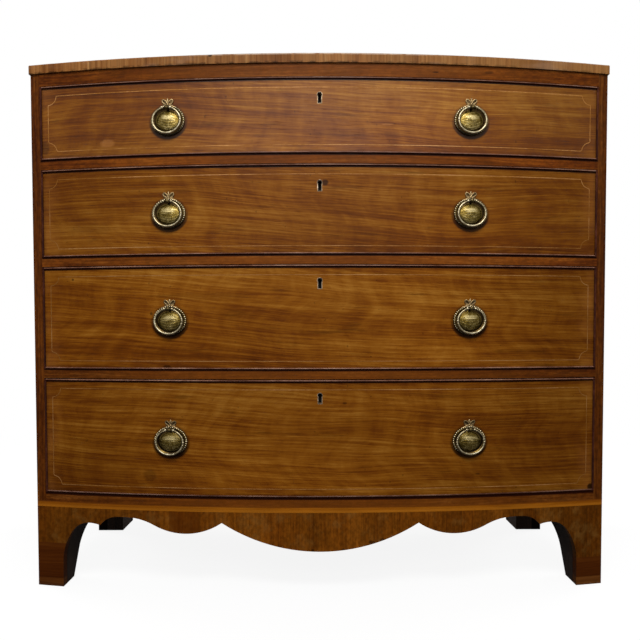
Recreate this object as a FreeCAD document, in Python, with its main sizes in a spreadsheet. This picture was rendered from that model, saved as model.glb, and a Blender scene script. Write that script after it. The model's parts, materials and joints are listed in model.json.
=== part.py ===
import FreeCAD, Part
import math
import os
import re
import Sketcher

# Bow front chest of drawers, in millimetres.
# +Z is up, the bowed front looks along -Y, and the origin is on the floor under the middle of the chest.
# Every text such as "case_width / 2" is an expression on the two sheets below, which each piece is bound to.

doc = FreeCAD.newDocument("bow_front_chest")

DRAWERS = (1, 2, 3, 4)          # numbered from the top
NODES = []

# ---------------------------------------------------------------- sizes that are set by hand
SIZES = (
    # carcase
    ("case_width", 1024, "over the two sides"),
    ("case_height", 930, "floor to the top of the top board"),
    ("case_depth", 468, "front corner to back"),
    ("bow_rise", 60, "how far the middle of the front stands before its corners"),
    ("base_height", 155, "floor to the underside of the carcase"),
    ("side_thick", 17, "carcase side"),
    ("rail_thick", 16, "rails between the drawers"),
    ("rail_reach", 50, "front corner back to the rear edge of a rail"),
    ("top_rail_thick", 22, "rail over the top drawer"),
    ("top_rear_width", 45, "rear rail under the top"),
    ("top_thick", 16, "top board"),
    ("top_side_lap", 2, "top board past each side"),
    ("top_front_lap", 4, "top board past the front"),
    ("top_round", 2.5, "rounding of the top board's upper edge"),
    ("back_thick", 9, "back boards"),
    ("back_rebate", 9, "how far the back boards are let into the sides"),
    ("back_gap", 0.5, "between two back boards"),
    ("back_board_count", 4, "back boards, one over another"),
    ("runner_width", 34, "drawer runners"),
    ("dust_thick", 6, "dust boards between the drawers"),
    ("dust_lift", 5, "underside of a rail to its dust board"),
    ("stop_x", 180, "middle of a drawer stop from the centre line"),
    ("stop_length", 40, "drawer stop"),
    ("stop_thick", 8, "drawer stop"),
    ("stop_height", 5, "drawer stop"),
    ("stop_gap", 0.3, "closed drawer front to its stops"),
    # how the four openings share the height left between the rails
    ("drawer_1_share", 130, "share of the top opening"),
    ("drawer_2_share", 155, "share of the second opening"),
    ("drawer_3_share", 182, "share of the third opening"),
    ("drawer_4_share", 206, "share of the bottom opening"),
    # base
    ("base_thick", 20, "apron, feet and skirts"),
    ("band_height", 9, "light band round the base"),
    ("band_thick", 3, "light band round the base"),
    ("foot_width", 49, "front foot seen from the front"),
    ("foot_straight", 45, "upright part of a foot's inner edge"),
    ("arch_reach", 49, "foot's inner edge to the crown of its arch"),
    ("arch_top", 36.3, "front of the base over the crown of its arches"),
    ("arch_radius", 36, "tight arc at the top of an arch"),
    ("cusp_run", 22, "crown of the arch to the cusp beside it"),
    ("cusp_drop", 3.4, "crown of the arch down to the cusp"),
    ("swell_run", 32, "cusp to the level part beside it"),
    ("swell_rise", 16.2, "cusp up to that level part"),
    ("swell_flat", 15, "length of that level part"),
    ("scallop_run", 107, "level part to the lowest point of the scallop"),
    ("scallop_depth", 26.3, "level part down to the lowest point of the scallop"),
    ("scallop_radius", 117, "arc of the scallop"),
    ("notch_run", 66, "lowest point of the scallop to the notch"),
    ("apron_depth", 78.5, "apron at its middle"),
    ("side_foot_depth", 47, "front foot seen from the side, on the floor"),
    ("side_slope_run", 53, "sloping edge of the front foot, along the floor"),
    ("side_slope_rise", 75, "sloping edge of the front foot, upwards"),
    ("skirt_height", 28, "side skirt, over the crown of the side arches"),
    ("front_block_depth", 107, "front corner back to the rear of the corner block"),
    ("rear_foot_depth", 94, "rear foot seen from the side"),
    ("rear_foot_width", 56, "rear foot seen from behind"),
    ("rear_foot_thick", 18, "rear bracket board"),
    # drawers
    ("side_gap", 1, "drawer to carcase, each side"),
    ("under_gap", 0.3, "drawer to the rail under it"),
    ("over_gap", 1.5, "drawer to the rail over it"),
    ("drawer_front_thick", 22, "drawer front"),
    ("drawer_side_thick", 10, "drawer side"),
    ("drawer_back_thick", 10, "drawer back"),
    ("drawer_rear_gap", 14, "closed drawer to the back boards"),
    ("side_drop", 2, "top of the drawer front down to its sides"),
    ("back_drop", 8, "top of the drawer front down to its back"),
    ("bottom_thick", 7, "drawer bottom"),
    ("bottom_lift", 9, "drawer bottom over the lower edge of the front"),
    ("bottom_tongue", 5, "drawer bottom let into the sides and front"),
    ("tail_length", 10, "dovetails"),
    ("tail_pitch", 40, "dovetails, centre to centre, at most"),
    ("tail_root", 16, "height of a dovetail at its root"),
    ("tail_tip", 22, "height of a dovetail at its tip"),
    ("bead_thick", 3.4, "cockbead"),
    ("bead_proud", 3, "cockbead before the drawer front"),
    ("bead_seat", 6, "cockbead let into the drawer front"),
    ("bead_round", 1.4, "rounding of the cockbead"),
    # lock and keyhole
    ("drawer_1_key_drop", 36, "top of the opening down to the middle of the keyhole"),
    ("drawer_2_key_drop", 38, "second drawer"),
    ("drawer_3_key_drop", 33, "third drawer"),
    ("drawer_4_key_drop", 33, "bottom drawer"),
    ("key_radius", 3.5, "round part of the keyhole"),
    ("key_slot", 4.8, "width of the keyhole's slot"),
    ("key_height", 17, "whole height of the keyhole"),
    ("key_rim", 1.4, "brass lining round the keyhole's ends"),
    ("key_rim_side", 1.9, "brass lining at the sides of the slot"),
    ("key_rim_deep", 3, "brass lining let into the front"),
    ("key_rim_proud", 0.4, "brass lining before the front"),
    ("lock_width", 52, "lock case"),
    ("lock_height", 50, "lock case"),
    ("lock_thick", 12, "lock case"),
    ("lock_wall", 2, "lock case"),
    ("bolt_width", 28, "lock bolt"),
    ("bolt_thick", 4.6, "lock bolt"),
    ("bolt_height", 22, "lock bolt"),
    ("bolt_play", 0.25, "lock bolt in its case"),
    ("bolt_sunk", 0.5, "drawn bolt below the top of the drawer"),
    ("bolt_bite", 5, "notch in the bolt where the key takes hold"),
    ("key_room", 9, "half the room inside the lock for the key"),
    ("mortice_deep", 8, "pocket for the bolt in the rail above"),
    ("mortice_play", 1, "bolt in that pocket, all round"),
    # handles
    ("handle_x", 260.5, "handle from the centre line"),
    ("handle_drop", 5.8, "middle of the opening down to the middle of the oval plate"),
    ("plate_half_width", 30, "oval plate"),
    ("plate_half_height", 26.2, "oval plate"),
    ("plate_rim", 3.4, "width of the raised border"),
    ("plate_rim_high", 2.6, "height of the raised border"),
    ("plate_field", 1.2, "thickness of the plate inside its border"),
    ("dome_half_width", 20.4, "raised middle of the plate"),
    ("dome_half_height", 17.2, "raised middle of the plate"),
    ("dome_rise", 3.8, "raised middle of the plate"),
    ("crest_thick", 1.8, "ribbon bow over the plate"),
    ("crest_knot", 3, "radius of the bow's knot"),
    ("crest_loop_long", 6.4, "half length of a loop of the bow"),
    ("crest_loop_wide", 3.7, "half width of a loop of the bow"),
    ("crest_loop_out", 5.8, "middle of a loop from the middle of the bow"),
    ("crest_loop_up", 5.2, "middle of a loop over the knot"),
    ("crest_tilt", 35, "slope of a loop, in degrees"),
    ("pivot_up", 20.5, "bail pivot over the middle of the plate"),
    ("pivot_out", 9.5, "bail pivot before the drawer front"),
    ("ball_radius", 3.8, "ball on the end of the post"),
    ("shank_radius", 2.4, "post"),
    ("shank_play", 0.1, "post in the wood and the plate"),
    ("shank_end", 1.5, "post past its nut"),
    ("nut_radius", 5.2, "nut, over its corners"),
    ("nut_thick", 4, "nut"),
    ("nut_gap", 0.1, "nut behind the curved back of the front"),
    ("pin_radius", 1.3, "pin of the bail in the ball"),
    ("pin_play", 0.08, "pin of the bail in the ball"),
    ("bail_half_width", 24.2, "ring bail, to the middle of its rod"),
    ("bail_half_height", 21.5, "ring bail, to the middle of its rod"),
    ("bail_end_radius", 20, "ring bail, arc at each side"),
    ("bail_radius", 1.95, "rod of the bail"),
    ("knuckle_radius", 3, "ball of the bail beside the post"),
    ("knuckle_x", 7.2, "that ball from the middle of the bail"),
    ("knuckle_seat", 1, "end of the rod past the middle of that ball"),
    ("knop_radius", 2.5, "small ball on the bail"),
    ("grip_half_length", 7.2, "thicker part at the foot of the bail"),
    ("grip_radius", 2.35, "thicker part at the foot of the bail"),
)

# ---------------------------------------------------------------- places and sizes that follow from them
LAYOUT = (
    ("bow_radius", "((case_width / 2)^2 + bow_rise^2) / (2 * bow_rise)"),
    ("front_line", "-(case_depth - bow_rise - top_front_lap) / 2"),
    ("bow_centre", "front_line - bow_rise + bow_radius"),
    ("back_line", "front_line + case_depth"),
    ("back_inner", "back_line - back_thick"),
    ("rail_back", "front_line + rail_reach"),
    ("opening_half", "case_width / 2 - side_thick"),
    ("runner_inner", "opening_half - runner_width"),
    ("shares", "drawer_1_share + drawer_2_share + drawer_3_share + drawer_4_share"),
    ("openings", "case_height - top_thick - top_rail_thick - 4 * rail_thick - base_height"),
    ("drawer_1_opening", "openings * drawer_1_share / shares"),
    ("drawer_2_opening", "openings * drawer_2_share / shares"),
    ("drawer_3_opening", "openings * drawer_3_share / shares"),
    ("drawer_4_opening", "openings * drawer_4_share / shares"),
    ("drawer_4_floor", "base_height + rail_thick"),
    ("drawer_3_floor", "drawer_4_floor + drawer_4_opening + rail_thick"),
    ("drawer_2_floor", "drawer_3_floor + drawer_3_opening + rail_thick"),
    ("drawer_1_floor", "drawer_2_floor + drawer_2_opening + rail_thick"),
    ("top_rail_floor", "drawer_1_floor + drawer_1_opening"),
    ("case_top", "top_rail_floor + top_rail_thick"),
    ("back_board_height", "(case_top - base_height + back_gap) / back_board_count - back_gap"),
    # outline of the base, from the right foot inwards
    ("arch_crown", "base_height - arch_top"),
    ("side_crown", "base_height - skirt_height"),
    ("apron_low", "base_height - apron_depth"),
    ("foot_edge", "case_width / 2 - foot_width"),
    ("crown_x", "foot_edge - arch_reach"),
    ("cusp_x", "crown_x - cusp_run"),
    ("cusp_z", "arch_crown - cusp_drop"),
    ("cusp_radius", "(cusp_run^2 + cusp_drop^2) / (2 * cusp_drop)"),
    ("swell_end_x", "cusp_x - swell_run"),
    ("swell_z", "cusp_z + swell_rise"),
    ("swell_radius", "(swell_run^2 + swell_rise^2) / (2 * swell_rise)"),
    ("swell_x", "swell_end_x - swell_flat"),
    ("scallop_x", "swell_x - scallop_run"),
    ("scallop_low", "swell_z - scallop_depth"),
    ("hollow_radius",
     "(scallop_run^2 - 2 * scallop_radius * scallop_depth + scallop_depth^2) / (2 * scallop_depth)"),
    ("hollow_x", "scallop_x + scallop_run * scallop_radius / (scallop_radius + hollow_radius)"),
    ("hollow_z", "scallop_low + scallop_depth * scallop_radius / (scallop_radius + hollow_radius)"),
    ("notch_x", "scallop_x - notch_run"),
    ("notch_z", "scallop_low + scallop_radius - sqrt(scallop_radius^2 - notch_run^2)"),
    ("drop_radius", "(notch_x^2 + (notch_z - apron_low)^2) / (2 * (notch_z - apron_low))"),
    # sloping edge of the front foot and the arch behind it, seen from the side
    ("slope_length", "sqrt(side_slope_run^2 + side_slope_rise^2)"),
    ("slope_arc", "(side_crown - side_slope_rise) / (1 - side_slope_run / slope_length)"),
    ("slope_start_y", "front_line + side_foot_depth"),
    ("slope_end_y", "slope_start_y + side_slope_run"),
    ("side_crown_y", "slope_end_y + slope_arc * side_slope_rise / slope_length"),
    ("rear_foot_y", "back_line - rear_foot_depth"),
    ("rear_crown_y", "rear_foot_y - arch_reach"),
    ("rear_foot_x", "case_width / 2 - rear_foot_width"),
    ("rear_crown_x", "rear_foot_x - arch_reach"),
    # drawers
    ("drawer_half", "opening_half - side_gap"),
    ("core_radius", "bow_radius - bead_seat"),
    ("inner_radius", "bow_radius - drawer_front_thick"),
    ("box_half", "drawer_half - drawer_side_thick"),
    ("land_y", "bow_centre - sqrt(inner_radius^2 - box_half^2)"),
    ("drawer_rear", "back_inner - drawer_rear_gap"),
    ("face_y", "bow_centre - bow_radius"),
    ("inner_y", "bow_centre - inner_radius"),
    # locks
    ("lock_y", "inner_y - lock_thick"),
    ("bolt_y", "lock_y + (lock_thick - bolt_thick) / 2"),
    ("key_round_up", "key_height / 2 - key_radius"),
    # handles
    ("handle_turn", "asin(handle_x / bow_radius)"),
    ("handle_y", "bow_centre - sqrt(bow_radius^2 - handle_x^2)"),
    ("knot_up", "plate_half_height + crest_knot / 2"),
)

SHEET_OF = {}


def qualified(text, home=""):
    """The expression with each alias named with its sheet, as objects outside that sheet need it."""
    def full(match):
        sheet = SHEET_OF.get(match.group(), home)
        return match.group() if sheet == home else sheet + "." + match.group()
    return re.sub(r"[a-z_][a-z0-9_]*", full, text)


def fill_sheets():
    """Write the plain sizes and, on a second sheet, the formulas that follow from them."""
    sheet = doc.addObject("Spreadsheet::Sheet", "Sizes")
    for row, (alias, value, note) in enumerate(SIZES, start=1):
        sheet.set("A%d" % row, alias)
        sheet.set("B%d" % row, str(value))
        sheet.setAlias("B%d" % row, alias)
        sheet.set("C%d" % row, note)
        SHEET_OF[alias] = "Sizes"
    layout = doc.addObject("Spreadsheet::Sheet", "Layout")
    for row, (alias, formula) in enumerate(LAYOUT, start=1):
        layout.set("A%d" % row, alias)
        layout.setAlias("B%d" % row, alias)
        SHEET_OF[alias] = "Layout"
    for row, (alias, formula) in enumerate(LAYOUT, start=1):
        layout.set("B%d" % row, "=" + qualified(formula, "Layout"))
    doc.recompute()
    return sheet


sizes = fill_sheets()


def bind(thing, prop, text):
    thing.setExpression(prop, qualified(text))


def amount(text):
    """The value of an expression as it stands now."""
    return float(sizes.evalExpression(qualified(text)))


# ---------------------------------------------------------------- ways of making a piece
def keep(piece):
    """Note a finished piece as a sub-part, written out under its label."""
    NODES.append(piece)
    return piece


def place(piece, x, y, z):
    for axis, text in zip("xyz", (x, y, z)):
        bind(piece, "Placement.Base." + axis, text)


def board(label, low, high):
    """A plain sawn board between two corners."""
    box = doc.addObject("Part::Box", label)
    place(box, *low)
    for prop, start, end in zip(("Length", "Width", "Height"), low, high):
        bind(box, prop, "(%s) - (%s)" % (end, start))
    return box


def rod(label, radius, length, x, y, z, axis, turn):
    """A round rod that starts at a point; it points along Z turned about an axis."""
    cylinder = doc.addObject("Part::Cylinder", label)
    bind(cylinder, "Radius", radius)
    bind(cylinder, "Height", length)
    cylinder.Placement.Rotation = FreeCAD.Rotation(FreeCAD.Vector(*axis), turn)
    place(cylinder, x, y, z)
    return cylinder


def forward_rod(label, radius, length, x, y, z):
    """A round rod that points forwards, along -Y."""
    return rod(label, radius, length, x, y, z, (1, 0, 0), 90)


def ball(label, radius, x, y, z):
    sphere = doc.addObject("Part::Sphere", label)
    bind(sphere, "Radius", radius)
    place(sphere, x, y, z)
    return sphere


def cut(label, base, tool):
    piece = doc.addObject("Part::Cut", label)
    piece.Base = base
    piece.Tool = tool
    return piece


def fuse(label, pieces):
    piece = doc.addObject("Part::MultiFuse", label)
    piece.Shapes = pieces
    return piece


def together(label, pieces):
    """Several separate solids under one label."""
    group = doc.addObject("Part::Compound", label)
    group.Links = pieces
    return group


def other_hand(piece):
    """The same piece for the left side."""
    mirror = doc.addObject("Part::Mirroring", piece.Name + "_left_hand")
    mirror.Source = piece
    mirror.Normal = FreeCAD.Vector(1, 0, 0)
    return mirror


def sketch_on(body, role, offset):
    """An empty sketch on one of the body's own planes, moved along the plane's normal."""
    plane = [item for item in body.Origin.OriginFeatures if item.Role == role][0]
    sketch = body.newObject("Sketcher::SketchObject", body.Name + "_sketch")
    sketch.AttachmentSupport = [(plane, "")]
    sketch.MapMode = "FlatFace"
    bind(sketch, "AttachmentOffset.Base.z", offset)
    return sketch


def arc_between(start, end, radius, turn):
    """The short arc from start to end; turn 1 runs anticlockwise and -1 clockwise."""
    if turn < 0:
        start, end = end, start
    half = (end - start) / 2
    rise = math.sqrt(max(radius**2 - half.Length**2, 0))
    inward = FreeCAD.Vector(-half.y, half.x, 0).normalize()
    centre = start + half + inward * rise
    first = start - centre
    begin = math.atan2(first.y, first.x)
    circle = Part.Circle(centre, FreeCAD.Vector(0, 0, 1), radius)
    return Part.ArcOfCircle(circle, begin, begin + first.getAngle(end - centre))


def outline(sketch, corners):
    """A closed outline. A corner is (x, y), or (x, y, radius, turn) where an arc leaves it."""
    spots = [FreeCAD.Vector(amount(corner[0]), amount(corner[1]), 0) for corner in corners]
    edges = []
    for number, corner in enumerate(corners):
        here = spots[number]
        there = spots[(number + 1) % len(spots)]
        if len(corner) == 2:
            edges.append((sketch.addGeometry(Part.LineSegment(here, there)), 1, 2))
            continue
        arc = sketch.addGeometry(arc_between(here, there, amount(corner[2]), corner[3]))
        edges.append((arc, 1, 2) if corner[3] > 0 else (arc, 2, 1))
    for number, corner in enumerate(corners):
        edge, start, end = edges[number]
        following = edges[(number + 1) % len(edges)]
        sketch.addConstraint(Sketcher.Constraint("Coincident", edge, end, following[0], following[1]))
        for kind, text in zip(("DistanceX", "DistanceY"), corner):
            rule = sketch.addConstraint(Sketcher.Constraint(kind, -1, 1, edge, start, amount(text)))
            bind(sketch, "Constraints[%d]" % rule, text)
        if len(corner) > 2:
            rule = sketch.addConstraint(Sketcher.Constraint("Radius", edge, amount(corner[2])))
            bind(sketch, "Constraints[%d]" % rule, corner[2])
    return sketch


def pad(body, sketch, length):
    feature = body.newObject("PartDesign::Pad", body.Name + "_pad")
    feature.Profile = sketch
    bind(feature, "Length", length)
    sketch.Visibility = False
    return feature


def pocket(body, sketch, length, forwards=False):
    """Cut the outline out, against the sketch plane's normal or along it, and see that wood went."""
    doc.recompute()
    before = body.Shape.Volume
    feature = body.newObject("PartDesign::Pocket", body.Name + "_pocket")
    feature.Profile = sketch
    feature.Reversed = forwards
    bind(feature, "Length", length)
    doc.recompute()
    if body.Shape.Volume > before - 1:
        raise RuntimeError("the pocket in %s cuts nothing" % body.Label)
    return feature


def round_edges(body, radius, wanted):
    """Round the edges of the body's last feature that pass a test on their middle point."""
    doc.recompute()
    base = body.Tip
    names = []
    for number, edge in enumerate(base.Shape.Edges, start=1):
        if wanted(edge.valueAt((edge.FirstParameter + edge.LastParameter) / 2)):
            names.append("Edge%d" % number)
    feature = body.newObject("PartDesign::Fillet", body.Name + "_round")
    feature.Base = (base, names)
    bind(feature, "Radius", radius)
    return feature


def level_board(label, corners, bottom, height):
    """A board whose outline is drawn in plan."""
    body = doc.addObject("PartDesign::Body", label)
    pad(body, outline(sketch_on(body, "XY_Plane", bottom), corners), height)
    return body


def on_bow(radius, x):
    """Y of a point on a bow of that radius, at x."""
    return "bow_centre - sqrt((%s)^2 - (%s)^2)" % (radius, x)


def bowed_plan(radius, half_width, back):
    """Plan of a board with a bowed front and a straight back."""
    left = "-(%s)" % half_width
    return [
        (left, on_bow(radius, half_width), radius, 1),
        (half_width, on_bow(radius, half_width)),
        (half_width, back),
        (left, back),
    ]


def bowed_strip(outer, inner, left, right):
    """Plan of a strip that follows the bow between two radii."""
    return [
        (left, on_bow(outer, left), outer, 1),
        (right, on_bow(outer, right)),
        (right, on_bow(inner, right), inner, -1),
        (left, on_bow(inner, left)),
    ]


# ---------------------------------------------------------------- carcase
def make_top():
    corners = bowed_plan("bow_radius + top_front_lap", "case_width / 2 + top_side_lap", "back_line")
    top = level_board("top_board", corners, "case_top", "top_thick")
    upper = amount("case_top + top_thick")
    back = amount("back_line")
    round_edges(top, "top_round", lambda spot: spot.z > upper - 0.1 and spot.y < back - 0.1)
    keep(top)


def make_sides():
    """Sides whose front ends follow the bow, rebated at the rear for the back boards."""
    inner = "opening_half"
    outer = "case_width / 2"
    corners = [
        (inner, on_bow("bow_radius", inner), "bow_radius", 1),
        (outer, "front_line"),
        (outer, "back_line"),
        ("opening_half + back_rebate", "back_line"),
        ("opening_half + back_rebate", "back_inner"),
        (inner, "back_inner"),
    ]
    right = level_board("side_right", corners, "base_height", "case_top - base_height")
    left = other_hand(right)
    left.Label = "side_left"
    keep(right)
    keep(left)


def make_back():
    boards = []
    half = "opening_half + back_rebate"
    for number in range(int(amount("back_board_count"))):
        low = "base_height + %d * (back_board_height + back_gap)" % number
        high = "%s + back_board_height" % low
        boards.append(board("back_board_%d" % number, ("-(%s)" % half, "back_inner", low),
                            (half, "back_line", high)))
    keep(together("back_boards", boards))


def bolt_mortice(label, floor):
    """The pocket that a drawer's bolt shoots up into, in the rail whose underside is at that height."""
    half = "bolt_width / 2 + mortice_play"
    return board(label + "_mortice", ("-(%s)" % half, "bolt_y - mortice_play", "%s - 1" % floor),
                 (half, "bolt_y + bolt_thick + mortice_play", "%s + mortice_deep" % floor))


def rail(label, floor, height):
    return level_board(label, bowed_plan("bow_radius", "opening_half", "rail_back"), floor, height)


def make_rails():
    """The bottom rail and the three rails between the drawers, each with a pocket for the bolt below."""
    rails = [rail("bottom_rail", "base_height", "rail_thick")]
    for number in DRAWERS[1:]:
        floor = "drawer_%d_floor + drawer_%d_opening" % (number, number)
        plain = rail("rail_over_%d" % number, floor, "rail_thick")
        rails.append(cut("morticed_rail_%d" % number, plain, bolt_mortice(plain.Name, floor)))
    keep(together("front_rails", rails))


def make_top_frame():
    """Rails and kickers under the top, over the top drawer."""
    plain = rail("top_front_rail", "top_rail_floor", "top_rail_thick")
    front = cut("morticed_top_rail", plain, bolt_mortice("top_rail", "top_rail_floor"))
    rear_front = "back_inner - top_rear_width"
    rear = board("top_rear_rail", ("-(opening_half)", rear_front, "top_rail_floor"),
                 ("opening_half", "back_inner", "case_top"))
    kicker = board("kicker_right", ("runner_inner", "rail_back", "top_rail_floor"),
                   ("opening_half", rear_front, "case_top"))
    keep(together("top_frame", [front, rear, kicker, other_hand(kicker)]))


def make_floors():
    """Runners and dust boards behind each rail, the bottom board and the drawer stops."""
    runners = []
    dust = []
    stops = []
    for number in DRAWERS:
        floor = "drawer_%d_floor" % number
        if number != DRAWERS[-1]:
            runner = board("runner_%d" % number, ("runner_inner", "rail_back", floor + " - rail_thick"),
                           ("opening_half", "back_inner", floor))
            runners += [runner, other_hand(runner)]
            low = floor + " - rail_thick + dust_lift"
            dust.append(board("dust_board_%d" % number, ("-(runner_inner)", "rail_back", low),
                              ("runner_inner", "back_inner", low + " + dust_thick")))
        outer = "stop_x + stop_length / 2"
        front = "%s + stop_gap" % on_bow("inner_radius", outer)
        stop = board("stop_%d" % number, ("stop_x - stop_length / 2", front, floor),
                     (outer, front + " + stop_thick", floor + " + stop_height"))
        stops += [stop, other_hand(stop)]
    keep(together("drawer_runners", runners))
    keep(together("dust_boards", dust))
    keep(together("drawer_stops", stops))
    keep(board("bottom_board", ("-(opening_half)", "rail_back", "base_height"),
               ("opening_half", "back_inner", "base_height + rail_thick")))


# ---------------------------------------------------------------- base
def make_banding():
    """The light band let in round the front and sides, just under the carcase."""
    low = "base_height - band_height"
    corners = bowed_strip("bow_radius", "bow_radius - band_thick", "-(case_width / 2)", "case_width / 2")
    front = level_board("band_front", corners, low, "band_height")
    inner = "case_width / 2 - band_thick"
    corners = [
        (inner, on_bow("bow_radius - band_thick", inner), "bow_radius - band_thick", 1),
        ("case_width / 2", on_bow("bow_radius - band_thick", "case_width / 2")),
        ("case_width / 2", "back_line"),
        (inner, "back_line"),
    ]
    side = level_board("band_side", corners, low, "band_height")
    return keep(together("base_banding", [front, side, other_hand(side)]))


def arch_arcs(edge, crown, crown_z):
    """Corners up a foot's inner edge: upright, a long arc, then a tight one to the crown of the arch."""
    reach = "(%s - %s)" % (edge, crown)
    rise = "(%s - foot_straight)" % crown_z
    sides = "(%s^2 + %s^2 - 2 * %s * arch_radius)" % (rise, reach, rise)
    long_arc = "(%s / (2 * %s - 2 * arch_radius))" % (sides, reach)
    share = "(%s / (%s - arch_radius))" % (long_arc, long_arc)
    knee = "%s - (%s - %s * (%s - %s))" % (edge, long_arc, share, long_arc, reach)
    knee_z = "foot_straight + %s * (%s - arch_radius)" % (share, rise)
    return [
        (edge, "0"),
        (edge, "foot_straight", long_arc, 1),
        (knee, knee_z, "arch_radius", 1),
        (crown, crown_z),
    ]


def cut_front_profile(body, corners):
    """Saw a shaped lower edge through a piece of the base, from behind it to before it."""
    behind = "-(front_line + front_block_depth + base_thick)"
    sketch = outline(sketch_on(body, "XZ_Plane", behind), corners)
    pocket(body, sketch, "bow_rise + front_block_depth + 2 * base_thick", forwards=True)


def facing(label, left, right):
    """A piece of the bowed front of the base, still without its shaped edge."""
    strip = bowed_strip("bow_radius", "bow_radius - base_thick", left, right)
    return level_board(label, strip, "0", "base_height")


def foot_waste():
    """What is sawn out under the front arch beside the right foot, seen from the front."""
    arch = arch_arcs("foot_edge", "crown_x", "arch_crown")
    arch[-1] += ("cusp_radius", 1)
    return arch + [("cusp_x", "cusp_z"), ("cusp_x - 1", "cusp_z"), ("cusp_x - 1", "-1"), ("foot_edge", "-1")]


def make_apron(banding):
    """The apron between the feet: a drop in the middle, a notch, a scallop and a swell each side."""
    right = [
        ("notch_x", "notch_z", "scallop_radius", 1),
        ("hollow_x", "hollow_z", "hollow_radius", -1),
        ("swell_x", "swell_z"),
        ("swell_end_x", "swell_z", "swell_radius", -1),
        ("cusp_x", "cusp_z"),
        ("cusp_x + 1", "cusp_z"),
        ("cusp_x + 1", "-1"),
    ]
    left = [
        ("-(cusp_x + 1)", "-1"),
        ("-(cusp_x + 1)", "cusp_z"),
        ("-(cusp_x)", "cusp_z", "swell_radius", -1),
        ("-(swell_end_x)", "swell_z"),
        ("-(swell_x)", "swell_z", "hollow_radius", -1),
        ("-(hollow_x)", "hollow_z", "scallop_radius", 1),
        ("-(notch_x)", "notch_z", "drop_radius", 1),
    ]
    blank = facing("apron_blank", "-(cusp_x)", "cusp_x")
    cut_front_profile(blank, left + right)
    keep(cut("apron", blank, banding))


def side_piece(label, corners):
    """A side piece of the base, drawn from the side and as thick as the base."""
    body = doc.addObject("PartDesign::Body", label)
    pad(body, outline(sketch_on(body, "YZ_Plane", "case_width / 2 - base_thick"), corners), "base_thick")
    return body


def slope_arcs():
    """Corners up the rear edge of the front foot, seen from the side, to the crown of the side arch."""
    return [
        ("slope_start_y", "0"),
        ("slope_end_y", "side_slope_rise", "slope_arc", -1),
        ("side_crown_y", "side_crown"),
    ]


def make_feet(banding):
    """Four bracket feet, each with its corner block, and the skirts that join them at the sides."""
    blank = facing("front_foot_blank", "cusp_x", "case_width / 2")
    cut_front_profile(blank, foot_waste())
    front = cut("front_foot_facing", blank, banding)

    front_edge = [("front_line", "base_height"), ("front_line", "0")]
    corners = slope_arcs() + [("side_crown_y", "base_height")] + front_edge
    side = cut("front_foot_side_fitted", side_piece("front_foot_side_blank", corners), blank)
    side = cut("front_foot_side", side, banding)
    keep(together("front_feet", [front, side, other_hand(front), other_hand(side)]))

    skirt = board("skirt_blank", ("case_width / 2 - base_thick", "side_crown_y", "side_crown"),
                  ("case_width / 2", "rear_crown_y", "base_height"))
    skirt = cut("skirt", skirt, banding)
    keep(together("side_skirts", [skirt, other_hand(skirt)]))

    corners = arch_arcs("rear_foot_y", "rear_crown_y", "side_crown")
    corners += [("rear_crown_y", "base_height"), ("back_line", "base_height"), ("back_line", "0")]
    rear_side = cut("rear_foot_side", side_piece("rear_foot_side_blank", corners), banding)
    bracket = doc.addObject("PartDesign::Body", "rear_bracket")
    corners = arch_arcs("rear_foot_x", "rear_crown_x", "side_crown")
    edge = "case_width / 2 - base_thick"
    corners += [("rear_crown_x", "base_height"), (edge, "base_height"), (edge, "0")]
    pad(bracket, outline(sketch_on(bracket, "XZ_Plane", "-(back_line)"), corners), "rear_foot_thick")
    keep(together("rear_feet", [rear_side, bracket, other_hand(rear_side), other_hand(bracket)]))

    behind = "bow_radius - base_thick"
    front_block = level_board("front_block", [
        ("crown_x", on_bow(behind, "crown_x"), behind, 1),
        (edge, on_bow(behind, edge)),
        (edge, "front_line + front_block_depth"),
        ("crown_x", "front_line + front_block_depth"),
    ], "0", "base_height")
    cut_front_profile(front_block, foot_waste())
    waste = slope_arcs() + [("side_crown_y", "-1"), ("slope_start_y", "-1")]
    pocket(front_block, outline(sketch_on(front_block, "YZ_Plane", edge), waste), "%s - crown_x" % edge)
    rear_block = board("rear_block", ("rear_foot_x", "rear_foot_y", "0"),
                       (edge, "back_line - rear_foot_thick", "base_height"))
    keep(together("foot_blocks", [front_block, rear_block, other_hand(front_block), other_hand(rear_block)]))


# ---------------------------------------------------------------- handles, made once and repeated
def oval(label, half_width, half_height, out, length, up, tilt, x):
    """An oval plate seen from the front: its rear face lies at -out, and it is as thick as length."""
    ring = doc.addObject("Part::Ellipse", label + "_edge")
    bind(ring, "MajorRadius", half_width)
    bind(ring, "MinorRadius", half_height)
    upright = FreeCAD.Rotation(FreeCAD.Vector(1, 0, 0), 90)
    ring.Placement.Rotation = FreeCAD.Rotation(FreeCAD.Vector(0, 1, 0), -tilt) * upright
    place(ring, x, "-(%s)" % out, up)
    plate = doc.addObject("Part::Extrusion", label)
    plate.Base = ring
    plate.DirMode = "Custom"
    plate.Dir = FreeCAD.Vector(0, -1, 0)
    plate.Solid = True
    bind(plate, "LengthFwd", length)
    return plate


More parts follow.
